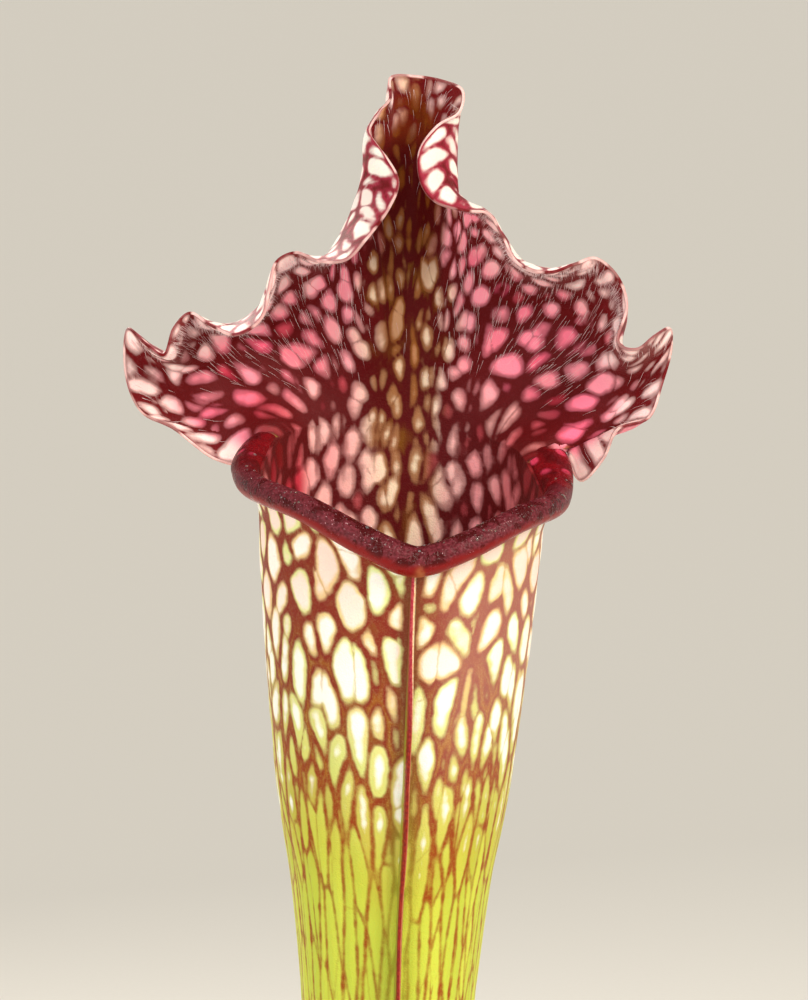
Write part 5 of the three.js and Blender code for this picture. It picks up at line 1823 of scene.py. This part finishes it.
roots = []
for turn, far, radius, count in MOSS_PATCHES:
    turn, around = np.radians(turn), random.uniform(0, 2 * np.pi, count)
    out = radius * np.sqrt(random.uniform(size=count)) * (1 + 0.25 * np.sin(3 * around + turn))
    x, y = far * np.cos(turn) + out * np.cos(around), far * np.sin(turn) + out * np.sin(around)
    inside = np.hypot(x, y) < soil_edge - 1.0
    roots.append(soil_point(x[inside], y[inside]))
roots = np.vstack(roots)
count = len(roots)
height = random.uniform(*MOSS_HEIGHT, count)[:, None]
tops = roots + unit(np.array([0, 0, 1.0]) + random.normal(0, 0.22, (count, 3))) * height
starts, ends = [roots], [tops]
for k in range(MOSS_LEAVES):
    spin = random.uniform(0, 2 * np.pi, count)
    leaf = xyz(np.cos(spin), np.sin(spin), MOSS_LEAF_RISE)
    node = mix(roots, tops, 0.35 + 0.6 * k / (MOSS_LEAVES - 1))
    starts.append(node)
    ends.append(node + leaf * random.uniform(0.6, 1.1, (count, 1)))
starts, ends = np.vstack(starts), np.vstack(ends)
thick = np.full(len(starts), MOSS_THICKNESS)
moss = new_piece("moss", spikes(starts, ends, np.zeros_like(starts), thick))


def moss_material():
    """Fresh green, yellower in some tufts."""
    make = Recipe("moss")
    tone = make.tones(make.noise(260, 2), "#4b6b1d", "#93a63a")
    tone = make.blend(make.step(make.noise(1800, 1), -0.4, 0.4, 0.0, 0.4), tone, "#2f4714")
    return make.finish(base_color=tone, roughness=0.7, specular_ior_level=0.3)


fit_in(moss, None, moss_material())

# %% [markdown]
# ## Hairs
#
# The hood's inner face is set with fine stiff hairs that point down towards the mouth, and they stand
# densest behind the frilled margin. A hair could be a curve, but a curve has no faces. Here it is a thin
# spike. Each grows from a random place, drawn with the chance that its spot has.

# %% Hairs
HAIR_COUNT = 2800
HAIR_LENGTH = (1.4, 3.2)
HAIR_RADIUS = 0.024
HAIR_SINK = 0.1
DENSE_STRIP = 2.6  # mm behind the margin where hairs stand dense
HAIR_RISE = 0.3  # how much a hair stands up from the skin
HAIR_BEND = 0.08  # share of its length by which it bows
HAIR_SPREAD = 0.08  # how much neighbours differ in direction

cell_area = np.linalg.norm(np.cross(across_step, along_step), axis=-1)
from_midrib = np.abs(180 - hood_angle)
dense = 0.05 + 0.95 * smooth(1.3 - to_margin / DENSE_STRIP) * rise(to_margin, 0.6, 1.2)
dense = dense * mix(0.1, 1, rise(from_midrib, 8, 6)) * mix(1, 0.1, rise(from_midrib, 46, 6))
chance = (cell_area * dense * rise(hood_along, 6, 8)).ravel()
spot = random.choice(chance.size, HAIR_COUNT, p=chance / chance.sum())
shake = random.uniform(-0.5, 0.5, (2, HAIR_COUNT, 1))
along_here, across_here = along_step.reshape(-1, 3)[spot], across_step.reshape(-1, 3)[spot]
normal_here = hood_normal.reshape(-1, 3)[spot]
start = front.reshape(-1, 3)[spot] + along_here * shake[0] + across_here * shake[1]
start = start - normal_here * HAIR_SINK
lean = -unit(along_here) + HAIR_RISE * normal_here + random.normal(0, HAIR_SPREAD, (HAIR_COUNT, 3))
length = random.uniform(*HAIR_LENGTH, HAIR_COUNT)[:, None]
bend = normal_here * HAIR_BEND * length
thick = np.full(HAIR_COUNT, HAIR_RADIUS)
hairs = new_piece("hood_hairs", spikes(start, start + unit(lean) * length, bend, thick))


def hair_material():
    """Nearly clear, with a grey-white shine and a faint painted glow that keeps them bright in shade."""
    make = Recipe("hairs")
    tone = make.tones(make.noise(900, 1), "#f0cccc", "#fff4f0")
    return make.finish(
        base_color=tone, roughness=0.4, specular_ior_level=0.5, alpha=0.7,
        # Painted glow: the hairs give off a little pale light of their own
        emission_color="#ffe6e2", emission_strength=0.15,
    )


fit_in(hairs, None, hair_material())

# %% [markdown]
# ## Nectar
#
# The lip sweats tiny drops of nectar, most of them near the spout. A wet material alone would shine
# evenly. Real drops catch the light one by one, so each is a clear flattened ball.

# %% Nectar
DROPS, DROP_SIZE = 90, (0.1, 0.28)
DRY_STEPS = 60  # steps at each end of the lip that have no drops
DROP_SIDES = (0.08, 0.45)  # shares of the way round the lip's ring between which drops sit
DROP_FLATTENING = 0.45

ring_number = random.normal(LIP_STEPS / 2, LIP_STEPS / 5, DROPS).astype(int)
ring_number = np.clip(ring_number, DRY_STEPS, LIP_STEPS - DRY_STEPS)
side_number = random.integers(*(int(LIP_SIDES * share) for share in DROP_SIDES), DROPS)
seat = lip_rings[ring_number, side_number]
up = unit(seat - lip_path[ring_number])
size = sizes_between(DROP_SIZE, DROPS)[:, None, None]
points, faces = ball(2)
height = np.einsum("px,nx->np", points, up)[..., None]
drop = points[None] - DROP_FLATTENING * height * up[:, None]
nectar = new_piece("nectar", copies(seat[:, None] + drop * size, [faces], DROPS))


def nectar_material():
    """Clear, sticky and faintly yellow."""
    make = Recipe("nectar")
    tone = make.tones(make.noise(400, 1), "#fff0d8", "#ffffff")
    return make.finish(base_color=tone, roughness=0.05, transmission_weight=0.9, ior=1.38)


fit_in(nectar, None, nectar_material())

# %% [markdown]
# ## Floor and light
#
# The plant stands on a plain pale floor that runs on behind it, so no edge shows. A single lamp would
# leave hard shadows. So a broad sun shines from the right front, a soft lamp fills in from the left, and
# one from behind lights the leaf's edges. A pale grey world fills the shadows.

# %% Floor and light
scene = bpy.context.scene
scene.view_settings.view_transform = "Standard"

bpy.ops.mesh.primitive_circle_add(vertices=128, radius=300, fill_type="NGON", location=(0, 0, 0))
floor = bpy.context.active_object
floor.name = "floor"
paper = Recipe("floor paper")
far = paper.add("ShaderNodeVectorMath", {0: paper.where}, operation="LENGTH").outputs["Value"]
fibres = paper.maths("MULTIPLY", paper.noise(500, 3), paper.step(far, 1.5, 0.3))
tone = paper.tones(fibres, "#dcd9d2", "#e2dfd8", -0.6, 0.6)
floor.data.materials.append(paper.finish(height=fibres, relief=0.03, base_color=tone, roughness=0.9))

world = bpy.data.worlds.new("studio")
scene.world = world
world.use_nodes = True
background = world.node_tree.nodes["Background"]
background.inputs["Color"].default_value = (*colour("#f1efea"), 1)
background.inputs["Strength"].default_value = 0.55


def aimed(name, kind, place, power, tone):
    """A light at a place in mm round the mouth, facing it."""
    data = bpy.data.lights.new(name, kind)
    data.energy, data.color = power, tuple(colour(tone))
    made = bpy.data.objects.new(name, data)
    scene.collection.objects.link(made)
    offset = np.array(place, float)
    made.location = (MOUTH + offset) * MM
    made.rotation_euler = Vector(tuple(offset)).to_track_quat("Z", "Y").to_euler()
    made.visible_camera = False
    return data


aimed("key", "SUN", (800, -700, 650), 2.45, "#fff6e8").angle = np.radians(28)
aimed("fill", "AREA", (-600, -800, 250), 4.0, "#ffffff").size = 0.6
aimed("back", "AREA", (-350, 800, 500), 9, "#fff8ee").size = 0.5
